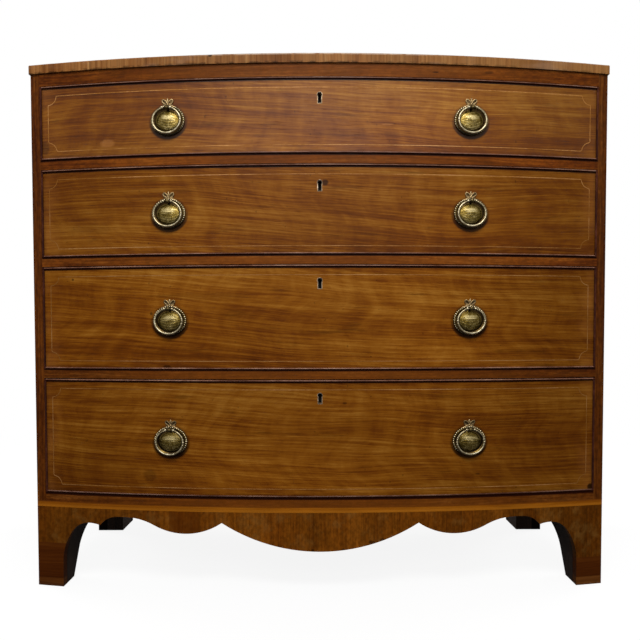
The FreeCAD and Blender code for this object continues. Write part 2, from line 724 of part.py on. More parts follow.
def make_plate():
    """Oval back plate with a raised border, a domed middle and a ribbon bow on top."""
    whole = oval("plate_whole", "plate_half_width", "plate_half_height", "0", "plate_rim_high", "0", 0, "0")
    field = oval("plate_sunk", "plate_half_width - plate_rim", "plate_half_height - plate_rim",
                 "plate_field", "plate_rim_high", "0", 0, "0")
    dome = doc.addObject("Part::Ellipsoid", "plate_dome")
    bind(dome, "Radius1", "dome_rise")
    bind(dome, "Radius2", "dome_half_width")
    bind(dome, "Radius3", "dome_half_height")
    dome.Angle1 = 0
    dome.Placement.Rotation = FreeCAD.Rotation(FreeCAD.Vector(1, 0, 0), 90)
    place(dome, "0", "-(plate_field)", "0")
    tilt = amount("crest_tilt")
    loops = []
    for side, name in ((1, "right"), (-1, "left")):
        loops.append(oval("crest_loop_" + name, "crest_loop_long", "crest_loop_wide", "0", "crest_thick",
                          "knot_up + crest_loop_up", side * tilt, "%d * crest_loop_out" % side))
    knot = forward_rod("crest_knot_disc", "crest_knot", "plate_rim_high", "0", "0", "knot_up")
    solid = fuse("plate_solid", [cut("plate_dished", whole, field), dome, knot] + loops)
    hole = forward_rod("plate_hole", "shank_radius + shank_play", "4 * plate_rim_high", "0",
                       "plate_rim_high", "pivot_up")
    return cut("handle_plate", solid, hole)


def make_post():
    """Post with a drilled ball in front and a nut behind the drawer front."""
    nut_face = "drawer_front_thick + nut_gap"
    end = nut_face + " + nut_thick + shank_end"
    shank = forward_rod("post_shank", "shank_radius", "%s + pivot_out" % end, "0", end, "pivot_up")
    head = ball("post_ball", "ball_radius", "0", "-(pivot_out)", "pivot_up")
    eye = rod("post_eye", "pin_radius + pin_play", "4 * ball_radius", "-2 * ball_radius", "-(pivot_out)",
              "pivot_up", (0, 1, 0), 90)
    post = cut("handle_post", fuse("post_solid", [shank, head]), eye)
    hexagon = doc.addObject("Part::Prism", "nut_hexagon")
    hexagon.Polygon = 6
    bind(hexagon, "Circumradius", "nut_radius")
    bind(hexagon, "Height", "nut_thick")
    hexagon.Placement.Rotation = FreeCAD.Rotation(FreeCAD.Vector(1, 0, 0), 90)
    place(hexagon, "0", nut_face + " + nut_thick", "pivot_up")
    thread = forward_rod("nut_hole", "shank_radius", "3 * nut_thick", "0", end, "pivot_up")
    nut = cut("handle_nut", hexagon, thread)
    return together("handle_post_and_nut", [post, nut])


def make_bail():
    """Ring bail: an oval rod, a thin pin through the ball, and small knops at its sides and foot."""
    wide = "bail_half_width"
    high = "bail_half_height"
    small = "bail_end_radius"
    large = "((%s^2 - 2 * %s * %s + %s^2) / (2 * (%s - %s)))" % (wide, wide, small, high, high, small)
    share = "(%s / (%s - %s))" % (small, large, small)
    join_x = "(%s - %s) * (1 + %s)" % (wide, small, share)
    join_z = "(%s - %s) * %s" % (large, high, share)
    middle = "pivot_up - bail_half_height"
    body = doc.addObject("PartDesign::Body", "bail_ring")
    path = outline(sketch_on(body, "XZ_Plane", "pivot_out"), [
        (wide, middle, small, 1),
        (join_x, "%s + %s" % (middle, join_z), large, 1),
        ("-(%s)" % join_x, "%s + %s" % (middle, join_z), small, 1),
        ("-(%s)" % wide, middle, small, 1),
        ("-(%s)" % join_x, "%s - %s" % (middle, join_z), large, 1),
        (join_x, "%s - %s" % (middle, join_z), small, 1),
    ])
    section = sketch_on(body, "XY_Plane", middle)
    circle = section.addGeometry(Part.Circle(FreeCAD.Vector(amount(wide), -amount("pivot_out"), 0),
                                             FreeCAD.Vector(0, 0, 1), amount("bail_radius")))
    for kind, text in (("DistanceX", wide), ("DistanceY", "-(pivot_out)")):
        rule = section.addConstraint(Sketcher.Constraint(kind, -1, 1, circle, 3, amount(text)))
        bind(section, "Constraints[%d]" % rule, text)
    rule = section.addConstraint(Sketcher.Constraint("Radius", circle, amount("bail_radius")))
    bind(section, "Constraints[%d]" % rule, "bail_radius")
    pipe = body.newObject("PartDesign::AdditivePipe", "bail_pipe")
    pipe.Profile = section
    pipe.Spine = path
    out = "-(pivot_out)"
    gap = board("bail_gap", ("-(knuckle_x - knuckle_seat)", "-2 * pivot_out", "pivot_up - bail_half_height"),
                ("knuckle_x - knuckle_seat", "0", "pivot_up + 2 * bail_radius"))
    pin = rod("bail_pin", "pin_radius", "2 * knuckle_x", "-(knuckle_x)", out, "pivot_up", (0, 1, 0), 90)
    foot = "pivot_up - 2 * bail_half_height"
    grip = rod("bail_grip", "grip_radius", "2 * grip_half_length", "-(grip_half_length)", out, foot,
               (0, 1, 0), 90)
    pieces = [cut("bail_open", body, gap), pin, grip]
    for side in (1, -1):
        name = "right" if side > 0 else "left"
        pieces.append(ball("knuckle_" + name, "knuckle_radius", "%d * knuckle_x" % side, out, "pivot_up"))
        pieces.append(ball("side_knop_" + name, "knop_radius", "%d * bail_half_width" % side, out, middle))
        pieces.append(ball("foot_knop_" + name, "knop_radius", "%d * grip_half_length" % side, out, foot))
    return fuse("handle_bail", pieces)


def on_drawer(pattern, number, side):
    """The pattern set against the bowed front, square to it, left (-1) or right (1) of the keyhole."""
    name = "%s_%d_%s" % (pattern.Name, number, "right" if side > 0 else "left")
    link = doc.addObject("App::Link", name)
    link.setLink(pattern)
    link.LinkTransform = True
    link.Placement.Rotation = FreeCAD.Rotation(FreeCAD.Vector(0, 0, 1), 1)
    bind(link, "Placement.Rotation.Angle", "%d * handle_turn" % side)
    place(link, "%d * handle_x" % side, "handle_y",
          "drawer_%d_floor + drawer_%d_opening / 2 - handle_drop" % (number, number))
    return link


# ---------------------------------------------------------------- drawers
def keyhole(label, radius, slot, below, middle, front, back):
    """A keyhole shape: a round hole with a slot under it, from its front face to its back face."""
    deep = "(%s) - (%s)" % (back, front)
    hole = forward_rod(label + "_round", radius, deep, "0", back, middle + " + key_round_up")
    slot = board(label + "_slot", ("-(%s) / 2" % slot, front, "%s - (%s)" % (middle, below)),
                 ("(%s) / 2" % slot, back, middle + " + key_round_up"))
    return fuse(label, [hole, slot])


def make_box(number, low, high):
    """Sides with dovetails, back and bottom of a drawer; returns the sides and the bottom."""
    name = "drawer_%d_" % number
    top = "%s - side_drop" % high
    height = amount("%s - (%s)" % (top, low))
    tails = max(int(height // amount("tail_pitch")), 1)
    corners = []
    for tail in range(tails):
        middle = "%s + ((%s) - (%s)) * %.1f / %d" % (low, top, low, tail + 0.5, tails)
        for part, edge in (("root", "-"), ("tip", "-"), ("tip", "+"), ("root", "+")):
            y = "land_y" if part == "root" else "land_y - tail_length"
            corners.append((y, "%s %s tail_%s / 2" % (middle, edge, part)))
    corners.reverse()
    outer = [("land_y", low), ("drawer_rear", low), ("drawer_rear", top), ("land_y", top)]
    side = doc.addObject("PartDesign::Body", name + "side_blank")
    pad(side, outline(sketch_on(side, "YZ_Plane", "box_half"), outer + corners), "drawer_side_thick")

    panel_half = "box_half + bottom_tongue"
    panel_low = "%s + bottom_lift" % low
    plan = bowed_plan("inner_radius + bottom_tongue", panel_half, "drawer_rear")
    bottom = level_board(name + "bottom", plan, panel_low, "bottom_thick")
    keep(bottom)
    grooved = cut(name + "side_right_hand", side, bottom)
    sides = keep(together(name + "sides", [grooved, other_hand(grooved)]))
    low_left = ("-(box_half)", "drawer_rear - drawer_back_thick", panel_low + " + bottom_thick")
    keep(board(name + "back", low_left, ("box_half", "drawer_rear", "%s - back_drop" % high)))
    return sides, bottom


def make_front(number, low, high, fittings):
    """Bowed front, rebated all round for its bead and cut for its sides, bottom, lock and handles."""
    name = "drawer_%d_front" % number
    core = level_board(name + "_core", [
        ("-(drawer_half)", on_bow("core_radius", "drawer_half"), "core_radius", 1),
        ("drawer_half", on_bow("core_radius", "drawer_half")),
        ("drawer_half", "land_y"),
        ("box_half", "land_y", "inner_radius", -1),
        ("-(box_half)", "land_y"),
        ("-(drawer_half)", "land_y"),
    ], low, "(%s) - (%s)" % (high, low))
    face_half = "(drawer_half - bead_thick)"
    face = level_board(name + "_face", bowed_strip("bow_radius", "core_radius", "-" + face_half, face_half),
                       "%s + bead_thick" % low, "(%s) - (%s) - 2 * bead_thick" % (high, low))
    keep(cut(name, fuse(name + "_solid", [core, face]), fuse(name + "_waste", fittings)))


def make_beads(number, low, high):
    """Cockbead: four strips round the drawer front, rounded where they stand before it."""
    name = "drawer_%d_bead_" % number
    nose = "bow_radius + bead_proud"
    strips = []
    for part, floor in (("lower", low), ("upper", "%s - bead_thick" % high)):
        strip = level_board(name + part, bowed_strip(nose, "core_radius", "-(drawer_half)", "drawer_half"),
                            floor, "bead_thick")
        middle = amount("bow_centre") - amount(nose)
        round_edges(strip, "bead_round", lambda spot: spot.y < middle + 0.1)
        strips.append(strip)
    inner = "drawer_half - bead_thick"
    upright = level_board(name + "upright", bowed_strip(nose, "core_radius", inner, "drawer_half"),
                          "%s + bead_thick" % low, "(%s) - (%s) - 2 * bead_thick" % (high, low))
    foremost = amount(on_bow(nose, "drawer_half"))
    centre = amount("(%s + %s) / 2" % (low, high))
    round_edges(upright, "bead_round", lambda spot: spot.y < foremost + 0.1 and abs(spot.z - centre) < 1)
    keep(together("drawer_%d_cockbead" % number, strips + [upright, other_hand(upright)]))


def make_lock(number, high):
    """Brass lock let into the back of the front, its sliding bolt and the lining of the keyhole."""
    name = "drawer_%d_" % number
    middle = "drawer_%d_floor + drawer_%d_opening - drawer_%d_key_drop" % (number, number, number)
    low_left = ("-(lock_width) / 2", "lock_y", "%s - lock_height" % high)
    block = board(name + "lock_block", low_left, ("lock_width / 2", "inner_y", high))
    recess = board(name + "lock_recess", low_left, ("lock_width / 2", "inner_y + lock_thick", high))
    way_half = "bolt_width / 2 + bolt_play"
    way = board(name + "bolt_way", ("-(%s)" % way_half, "bolt_y - bolt_play",
                                    "%s - bolt_sunk - bolt_height - bolt_play" % high),
                (way_half, "bolt_y + bolt_thick + bolt_play", "%s + 1" % high))
    room = board(name + "key_room", ("-(key_room)", "lock_y + lock_wall", "%s - key_height / 2 - 2" % middle),
                 ("key_room", "inner_y - lock_wall", "%s - bolt_sunk - bolt_height" % high))
    eye = keyhole(name + "lock_eye", "key_radius", "key_slot", "key_height / 2", middle, "lock_y - 1",
                  "lock_y + lock_wall + 1")
    case = cut(name + "lock_case", block, fuse(name + "lock_hollow", [way, room, eye]))

    shape = (middle, "face_y - key_rim_proud", "face_y + key_rim_deep")
    rim_outer = keyhole(name + "rim_outer", "key_radius + key_rim", "key_slot + 2 * key_rim_side",
                        "key_height / 2 + key_rim", *shape)
    rim_inner = keyhole(name + "rim_inner", "key_radius", "key_slot", "key_height / 2", middle,
                        "face_y - 1", "lock_y")
    lining = cut(name + "keyhole_lining", rim_outer, rim_inner)
    keep(together(name + "lock", [case, lining]))

    bar_low = "%s - bolt_sunk - bolt_height" % high
    bar = board(name + "bolt_bar", ("-(bolt_width) / 2", "bolt_y", bar_low),
                ("bolt_width / 2", "bolt_y + bolt_thick", "%s - bolt_sunk" % high))
    behind = "bolt_y + 2 * bolt_thick"
    bite = forward_rod(name + "bolt_bite", "bolt_bite", "3 * bolt_thick", "0", behind, bar_low)
    keep(cut(name + "bolt", bar, bite))
    return [recess, rim_outer, rim_inner]


def make_handles(number, patterns, drill):
    """Two plates, two posts and two ring bails; returns the holes for the posts."""
    name = "drawer_%d_" % number
    plate, post, bail = patterns
    keep(together(name + "handle_plates", [on_drawer(plate, number, side) for side in (-1, 1)]))
    keep(together(name + "handle_posts", [on_drawer(post, number, side) for side in (-1, 1)]))
    keep(together(name + "bail_left", [on_drawer(bail, number, -1)]))
    keep(together(name + "bail_right", [on_drawer(bail, number, 1)]))
    return [on_drawer(drill, number, side) for side in (-1, 1)]


def make_drawers():
    patterns = (make_plate(), make_post(), make_bail())
    drill = forward_rod("post_drill", "shank_radius + shank_play", "3 * drawer_front_thick", "0",
                        "2 * drawer_front_thick", "pivot_up")
    for number in DRAWERS:
        low = "drawer_%d_floor + under_gap" % number
        high = "drawer_%d_floor + drawer_%d_opening - over_gap" % (number, number)
        sides, bottom = make_box(number, low, high)
        lock_waste = make_lock(number, high)
        holes = make_handles(number, patterns, drill)
        make_front(number, low, high, [sides, bottom] + lock_waste + holes)
        make_beads(number, low, high)


# ---------------------------------------------------------------- build, test and write
def check_document():
    """Stop if any object failed or any sub-part has no sound shape."""
    for item in doc.Objects:
        if "Invalid" in item.State or "Error" in item.State:
            raise RuntimeError("%s is %s" % (item.Label, item.State))
    for piece in NODES:
        if piece.Shape.isNull() or not piece.Shape.isValid() or not piece.Shape.Solids:
            raise RuntimeError("%s has no sound shape" % piece.Label)


def write_parts():
    os.makedirs("parts", exist_ok=True)
    for piece in NODES:
        piece.Shape.exportStep("parts/%s.step" % piece.Label)
        print("%-24s %2d solids" % (piece.Label, len(piece.Shape.Solids)))


banding = make_banding()
make_top()
make_sides()
make_back()
make_rails()
make_top_frame()
make_floors()
make_apron(banding)
make_feet(banding)
make_drawers()
doc.recompute()
check_document()
write_parts()
print("%d sub-parts" % len(NODES))
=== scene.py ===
import json
from math import asin, atan2, cos, exp, pi, radians, sin, sqrt, tau

import bmesh
import bpy
from mathutils import Matrix, Vector


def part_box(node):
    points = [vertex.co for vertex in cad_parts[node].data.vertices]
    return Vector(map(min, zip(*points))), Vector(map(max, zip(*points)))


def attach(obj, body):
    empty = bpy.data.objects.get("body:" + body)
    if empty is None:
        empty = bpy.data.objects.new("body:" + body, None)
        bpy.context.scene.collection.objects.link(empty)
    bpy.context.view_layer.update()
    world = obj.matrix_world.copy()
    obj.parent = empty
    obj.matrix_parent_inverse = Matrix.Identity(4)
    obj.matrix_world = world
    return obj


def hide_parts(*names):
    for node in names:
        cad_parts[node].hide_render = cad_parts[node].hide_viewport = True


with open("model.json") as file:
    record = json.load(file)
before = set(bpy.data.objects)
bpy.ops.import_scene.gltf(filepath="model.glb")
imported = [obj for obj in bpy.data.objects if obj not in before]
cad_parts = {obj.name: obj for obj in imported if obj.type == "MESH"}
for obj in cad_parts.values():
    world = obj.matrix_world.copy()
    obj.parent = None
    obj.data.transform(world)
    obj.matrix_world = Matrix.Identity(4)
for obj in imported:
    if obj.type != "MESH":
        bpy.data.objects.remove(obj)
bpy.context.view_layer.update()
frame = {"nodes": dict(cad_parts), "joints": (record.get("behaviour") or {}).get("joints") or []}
nodes = frame["nodes"]
joints = {joint["child"]: joint for joint in frame["joints"]}
scene = bpy.context.scene
DRAWERS = (1, 2, 3, 4)
SIDES = ("left", "right")

# the case, in metres
CASE_HALF = 0.512
FRONT_LINE = -0.202
BOW_RISE = 0.06
BOW_RADIUS = (CASE_HALF ** 2 + BOW_RISE ** 2) / (2 * BOW_RISE)
BOW_CENTRE = FRONT_LINE - BOW_RISE + BOW_RADIUS
BACK_LINE = 0.266
BACK_BOARD = 0.189875
BASE_TOP = 0.155
CASE_TOP = 0.914
TOP = 0.93
BORDER = 0.045
DRAWER_HALF = 0.494
BEAD = 0.0034
FOOT_JOINT = 0.079

# the handles: half sizes of the plate, half sizes and rise of its dome, its thickness, how far the pins
# of the ring stand above its middle and out from the drawer, half sizes of the ring and half its rod,
# the middles of the plates, half sizes of the old polish and painted shadow round them, and the heights of
# the keyholes
PLATE = (0.03, 0.0262)
DOME = (0.0212, 0.018, 0.0038)
FIELD = 0.0012
PIVOT_UP = 0.0205
PIVOT_OUT = 0.0095
BAIL = (0.0242, 0.0215, 0.00195)
HANDLE_X = 0.2605
HANDLE_Z = {number: joints["bail_%d_left" % number]["pos_m"][2] - PIVOT_UP for number in DRAWERS}
POLISH_AND_SHADOW_HALO = (0.0308, 0.0278)
KEYHOLE = {1: 0.856, 2: 0.708, 3: 0.542, 4: 0.344}

# the drawer fronts: painted light as a brightness in the middle and at the ends, highest on the upper
# fronts, gloss, and how far the grain rises over them
PAINTED_LIGHT = {1: (1.2, 1.0), 2: (1.05, 0.96), 3: (1.02, 0.94), 4: (0.92, 0.84)}
GLOSS = {1: 0.12, 2: 0.05, 3: 0.03, 4: 0.03}
SLOPE = {1: 0.006, 2: 0.018, 3: 0.024, 4: 0.014}

# wear marks: x, z, half width, half height and strength
MARKS = {
    1: [(-0.486, 0.784, 0.01, 0.014, 0.4), (-0.37, 0.787, 0.016, 0.008, -0.25),
        (0.115, 0.812, 0.012, 0.002, -0.3), (0.03, 0.795, 0.06, 0.006, 0.14)],
    2: [(0.0092, 0.713, 0.0072, 0.006, 0.74), (-0.4, 0.64, 0.05, 0.01, 0.12),
        (0.3, 0.6, 0.04, 0.005, 0.2)],
    3: [(-0.437, 0.5515, 0.0026, 0.0026, 0.65), (-0.2936, 0.4906, 0.003, 0.0034, 0.6),
        (-0.266, 0.399, 0.008, 0.003, 0.6), (-0.2, 0.52, 0.1, 0.008, 0.12)],
    4: [(-0.299, 0.2075, 0.014, 0.013, 0.28), (0.4885, 0.178, 0.007, 0.008, 0.85),
        (0.0426, 0.3354, 0.0045, 0.0026, 0.5), (0.2766, 0.2094, 0.005, 0.0018, 0.5),
        (0.3, 0.3, 0.08, 0.01, 0.12)],
}
TOP_MARKS = [(-0.186, TOP - 0.002, 0.004, 0.003, 0.8)]
RAIL_MARKS = [(0.198, 0.9013, 0.007, 0.0014, 0.7), (0.292, 0.9041, 0.01, 0.003, 0.4)]
APRON_CHIPS = [(x, z, wide, 0.004, 0.6) for x, z, wide in (
    (-0.013, 0.0785, 0.003), (-0.16, 0.0965, 0.003), (0.04, 0.079, 0.003), (0.09, 0.0925, 0.006),
    (0.108, 0.0965, 0.006))]


def srgb(red, green, blue):
    """A colour of 0 to 255 as the shaders take it."""
    parts = [value / 255 for value in (red, green, blue)]
    return tuple(p / 12.92 if p <= 0.04045 else ((p + 0.055) / 1.055) ** 2.4 for p in parts) + (1.0,)


# ---- nodes
def both_ways(operation):
    """A sum of two values as a method, and its reflected form."""
    return (lambda one, other: one.owner.sum(operation, one, other),
            lambda one, other: one.owner.sum(operation, other, one))


class Value:
    """A socket that holds a number or a colour, on which sums may be written."""

    def __init__(self, owner, socket):
        self.owner = owner
        self.socket = socket

    __add__, __radd__ = both_ways("ADD")
    __sub__, __rsub__ = both_ways("SUBTRACT")
    __mul__, __rmul__ = both_ways("MULTIPLY")
    __truediv__, __rtruediv__ = both_ways("DIVIDE")
    __pow__, __rpow__ = both_ways("POWER")
    least = both_ways("MINIMUM")[0]
    most = both_ways("MAXIMUM")[0]

    def __abs__(self):
        return self.owner.sum("ABSOLUTE", self)

    def part(self, axis):
        return self.owner.node("ShaderNodeSeparateXYZ", {}, {"Vector": self}, axis)

    def between(self, low, high, start=0.0, end=1.0):
        """start up to low, end from high on, and smooth between them."""
        return self.owner.node("ShaderNodeMapRange", {"interpolation_type": "SMOOTHSTEP"}, {
            "Value": self, "From Min": low, "From Max": high, "To Min": start, "To Max": end})

    def until(self, low, high):
        """1 up to low, 0 from high on, and smooth between them."""
        return self.between(low, high, 1.0, 0.0)

    def chance(self):
        """A random number for each whole step of the value."""
        return self.owner.node("ShaderNodeTexWhiteNoise", {"noise_dimensions": "1D"},
                               {"W": self.owner.sum("FLOOR", self)})

    def off_middle(self):
        """How far the value lies from the middle between two whole steps."""
        return abs(self.owner.sum("FRACT", self) - 0.5)

    def ramp(self, stops):
        return self.owner.node("ShaderNodeValToRGB", {"stops": stops}, {"Fac": self})

    def mix(self, amount, other, blend="MIX"):
        return self.owner.node("ShaderNodeMix", {"data_type": "RGBA", "blend_type": blend},
                               {0: amount, 6: self, 7: other}, 2)

    def change(self, other, value, low, high):
        """The colour up to low, the other one from high on."""
        return self.mix(value.between(low, high), other)

    def shaded(self, amount):
        """The colour made darker or lighter by a number that varies over the surface."""
        grey = self.owner.node("ShaderNodeCombineColor", {},
                               {"Red": amount, "Green": amount, "Blue": amount})
        return self.mix(1.0, grey, "MULTIPLY")

    def shade(self, value, *span):
        """The colour made darker or lighter over a span of the value."""
        return self.shaded(value.between(*span))

    def shadow_blackened(self, amount):
        """The colour turned brown-black where the amount nears 1: a painted shadow, as under a cockbead."""
        return self.mix(amount, srgb(36, 9, 1))


class Nodes:
    """A tree to which nodes are added one by one."""

    def __init__(self, tree):
        self.tree = tree
        tree.nodes.clear()

    def node(self, kind, settings=None, sockets=None, out=0):
        """A node of that kind, its settings made first, then its sockets set or linked."""
        made = self.tree.nodes.new(kind)
        for name, value in (settings or {}).items():
            if name == "stops":
                for place, colour in value[2:]:
                    made.color_ramp.elements.new(place)
                for element, (place, colour) in zip(made.color_ramp.elements, value):
                    element.position = place
                    element.color = colour
            else:
                setattr(made, name, value)
        for name, value in (sockets or {}).items():
            if isinstance(value, Value):
                self.tree.links.new(value.socket, made.inputs[name])
            else:
                made.inputs[name].default_value = value
        return Value(self, made.outputs[out]) if made.outputs else None

    def sum(self, operation, *values):
        return self.node("ShaderNodeMath", {"operation": operation}, dict(enumerate(values)))

    def spot(self, x, y, z):
        return self.node("ShaderNodeCombineXYZ", {}, {"X": x, "Y": y, "Z": z})


class Finish(Nodes):
    """A material and what its nodes may read: the place on the object and the depth under the bow."""

    def __init__(self, name):
        self.material = bpy.data.materials.new(name)
        self.material.use_nodes = True
        super().__init__(self.material.node_tree)
        place = self.node("ShaderNodeTexCoord", out="Object")
        self.at = [place.part(axis) for axis in "XYZ"]
        x, y, _ = self.at
        back = BOW_CENTRE - y
        self.depth = BOW_RADIUS - (x * x + back * back) ** 0.5
        self.side = abs(x)

    def noise(self, x, y, z, detail=3.0, rough=0.5):
        return self.node("ShaderNodeTexNoise", {}, {
            "Vector": self.spot(x, y, z), "Scale": 1.0, "Detail": detail, "Roughness": rough})

    def cloud(self, size, detail=3.0, rough=0.5):
        """Noise of one grain in every direction."""
        return self.noise(*[way * size for way in self.at], detail, rough)

    def marked(self, colour, marks):
        """The colour with ragged oval marks: dark, or pale where the strength is below 0."""
        x, _, z = self.at
        for middle, level, half_wide, half_high, strength in marks:
            across = (x - middle) / half_wide
            up = (z - level) / half_high
            wobble = self.noise(x * 90, 0.0, z * 140, 4.0, 0.6)
            patch = ((across * across + up * up) ** 0.5 + (wobble - 0.5) * 0.6).until(0.55, 1.05)
            if strength > 0:
                colour = colour.shaded(1 - patch * strength)
            else:
                colour = colour.mix(patch * -strength, srgb(176, 118, 62))
        return colour

    def surface(self, colour, rough, height, relief, gloss=0.5, metal=0.0):
        """Close the tree with one glossy surface, its height given in parts of the relief."""
        bump = self.node("ShaderNodeBump", {}, {"Strength": 1.0, "Distance": relief, "Height": height})
        body = self.node("ShaderNodeBsdfPrincipled", {}, {
            "Base Color": colour, "Roughness": rough, "Metallic": metal, "Specular IOR Level": gloss,
            "Normal": bump})
        self.node("ShaderNodeOutputMaterial", {}, {"Surface": body})
        return self.material


# ---- woods
def stops(*tones, places=(0.3, 0.43, 0.53, 0.68)):
    """Stops of a ramp from dark to light, as a rule where the grain's values lie."""
    return [(place, srgb(*tone)) for place, tone in zip(places, tones)]


MAHOGANY = stops((60, 25, 2), (92, 46, 5), (116, 67, 11), (146, 98, 34))
RED_MAHOGANY = stops((34, 10, 2), (74, 32, 5), (100, 51, 10), (142, 88, 36))
CROSS_MAHOGANY = stops((86, 47, 18), (110, 67, 31), (130, 86, 45), (152, 110, 64))
BASE_MAHOGANY = stops((62, 28, 3), (78, 39, 4), (88, 47, 6), (104, 59, 12))
TURNED_MAHOGANY = stops((40, 14, 2), (54, 22, 3), (64, 28, 4), (84, 44, 10))
SHOE_MAHOGANY = stops((46, 18, 4), (64, 30, 7), (78, 42, 13), (98, 58, 24))
LIGHT_WOOD = stops((94, 46, 3), (114, 61, 5), (128, 72, 8), (148, 90, 20))
BOXWOOD = stops((104, 60, 18), (120, 77, 30), (144, 100, 54), (170, 128, 82))
OAK = stops((104, 72, 38), (136, 100, 58), (156, 120, 74), (178, 142, 94))
PINE = stops((120, 82, 44), (150, 108, 62), (168, 128, 80), (188, 150, 102))
# the next two tones are nearly black: painted shade for parts under the case
SHADE_DARK_PINE = stops((18, 10, 6), (28, 17, 10), (38, 24, 15), (52, 34, 22))
SHADED_INSIDE = stops((6, 2, 1), (9, 3, 1), (13, 5, 2), (20, 9, 4))
DYED_BEAD = stops((24, 6, 3), (38, 13, 7), (52, 22, 13), (84, 44, 28))
RUBBED_AND_LIT_BEAD = stops((60, 32, 20), (88, 56, 42), (114, 80, 64), (146, 114, 96))


def grain(wood, along, across, deep, tones, seed=0.0, figure=0.1, coarse=1.0):
    """Colour of a wood with its grain along the first direction, its pores and its tone."""
    drift = wood.noise(along * 1.6 + seed, across * 5, deep * 5, 2.0)
    line = across + drift * 0.055
    broad = wood.noise(along * 1.4 + seed, line * (15 * coarse), deep * 15, 3.0, 0.55)
    streak = wood.noise(along * 2.8, line * (72 * coarse) + seed, deep * 72, 5.0, 0.66)
    thread = wood.noise(along * 6, line * (270 * coarse), deep * 270 + seed, 2.0, 0.6)
    fibre = wood.noise(along * 36, line * 1150, deep * 1150 + seed, 2.0, 0.6)
    glimmer = wood.noise(along * 30 + drift * 9, line * 12 + seed, deep * 12, 3.0, 0.6)
    tone = broad * 0.4 + streak * 0.28 + thread * 0.34 + fibre * 0.22 + (glimmer - 0.5) * figure - 0.12
    return tone.ramp(tones), fibre.between(0.26, 0.4), tone


def polished(wood, colour, pores, rough=0.38, gloss=0.04):
    """French polish over open pores."""
    x, y, z = wood.at
    smear = wood.noise(x * 11, y * 11, z * 14, 4.0, 0.6)
    return wood.surface(colour.shaded(pores * 0.1 + 0.9), (smear - 0.5) * 0.22 + rough,
                        pores, 0.00012, gloss=gloss)


def dry(wood, colour, pores, tone, dust, rough):
    """Bare wood, matt and dusty."""
    return wood.surface(colour, (dust - 0.5) * 0.2 + rough, pores + tone * 0.8, 0.0003, gloss=0.12)


def plain_wood(name, tones, along, seed=0.0, stain=0.2):
    """Unpolished wood inside the case, with its grain along x, y or z."""
    wood = Finish(name)
    x, y, z = wood.at
    ways = {"x": (x, z, y), "y": (y, x, z), "z": (z, x, y)}
    colour, pores, tone = grain(wood, *ways[along], tones, seed, 0.04, 0.6)
    dust = wood.noise(x * 7, y * 7 + seed, z * 7, 4.0, 0.6)
    colour = colour.shaded(1 - dust.between(0.4, 0.62, 0.0, stain))
    return dry(wood, colour, pores, tone, dust, 0.62)


def back_finish():
    """Pine boards nailed across the back, each with its own grain, dark in the joints between them."""
    wood = Finish("back_pine")
    x, y, z = wood.at
    board = (z - BASE_TOP) / BACK_BOARD
    own = board.chance()
    colour, pores, tone = grain(wood, x + own * 9, z, y, PINE, 6.0, 0.04, 0.6)
    dust = wood.noise(x * 5, y * 5, z * 9, 4.0, 0.6)
    colour = colour.shaded((own * 0.3 + 0.85) * dust.between(0.4, 0.66, 1.0, 0.78))
    colour = colour.shade(board.off_middle(), 0.492, 0.497, 1.0, 0.16)
    return dry(wood, colour, pores, tone, dust, 0.66)


def front_finish(number, low, high):
    """Veneer laid along a bowed drawer front, with its pine core behind it."""
    wood = Finish("drawer_%d_veneer" % number)
    x, y, z = wood.at
    seed = 11.0 * number
    slope = SLOPE[number]
    level = z + x.between(-0.5, 0.3, -slope, slope)
    colour, pores, _ = grain(wood, x, level, wood.depth, MAHOGANY, seed, 0.24)
    leaf = wood.noise(x * 2.1 + seed, 0.3, z * 5, 2.0)
    # painted light: each front brighter in the middle, most on the upper fronts, and darker towards the
    # ends, most on the right
    middle = wood.side.between(0.1, 0.44, *PAINTED_LIGHT[number])
    painted_end_shade = x.between(-0.2, -0.5, 1.0, 0.94) * x.between(0.16, 0.5, 1.0, 0.78)
    colour = colour.shaded(leaf.between(0.3, 0.7, 0.9, 1.1) * middle * painted_end_shade)
    smudge = wood.noise(x * 9 + seed, 0.9, z * 62, 4.0, 0.65)
    colour = colour.shade(smudge, 0.57, 0.74, 1.0, 0.66)
    # darker in patches along the cockbead, a painted shadow as a black line under its upper strip, faded
    # ends
    end = DRAWER_HALF - BEAD - wood.side
    under = high - BEAD - z
    edge = (z - (low + BEAD)).least(under).least(end)
    patchy = wood.noise(x * 22, 0.0, z * 22 + seed, 3.0)
    darkening = edge.until(0.0, 0.007) * patchy.between(0.3, 0.62)
    colour = colour.shaded(1 - darkening * 0.34).shadow_blackened(under.until(0.0013, 0.0027))
    faded = end.until(0.004, 0.04) * patchy.between(0.35, 0.65)
    colour = colour.mix(faded * 0.2, srgb(146, 92, 44))
    specks = wood.noise(x * 160, 0.7, z * 160 + seed, 2.0)
    colour = colour.shade(specks, 0.22, 0.3, 0.62, 1.0)
    # old polish gathered round the plates, and a painted shadow below them, so darkest below
    aside = (wood.side - HANDLE_X) / POLISH_AND_SHADOW_HALO[0]
    above = (z - HANDLE_Z[number] + 0.0016) / POLISH_AND_SHADOW_HALO[1]
    ring = (aside * aside + above * above) ** 0.5
    polish_and_shadow_depth = above.between(-0.8, 0.6, 0.14, 0.7)
    colour = colour.shade(ring, 1.02, 1.15, polish_and_shadow_depth, 1.0)
    colour = wood.marked(colour, MARKS[number])
    core = grain(wood, x, z, y, PINE, seed, 0.02, 0.6)[0]
    colour = colour.change(core, wood.depth, 0.0012, 0.0015)
    return polished(wood, colour, pores, 0.36, GLOSS[number])


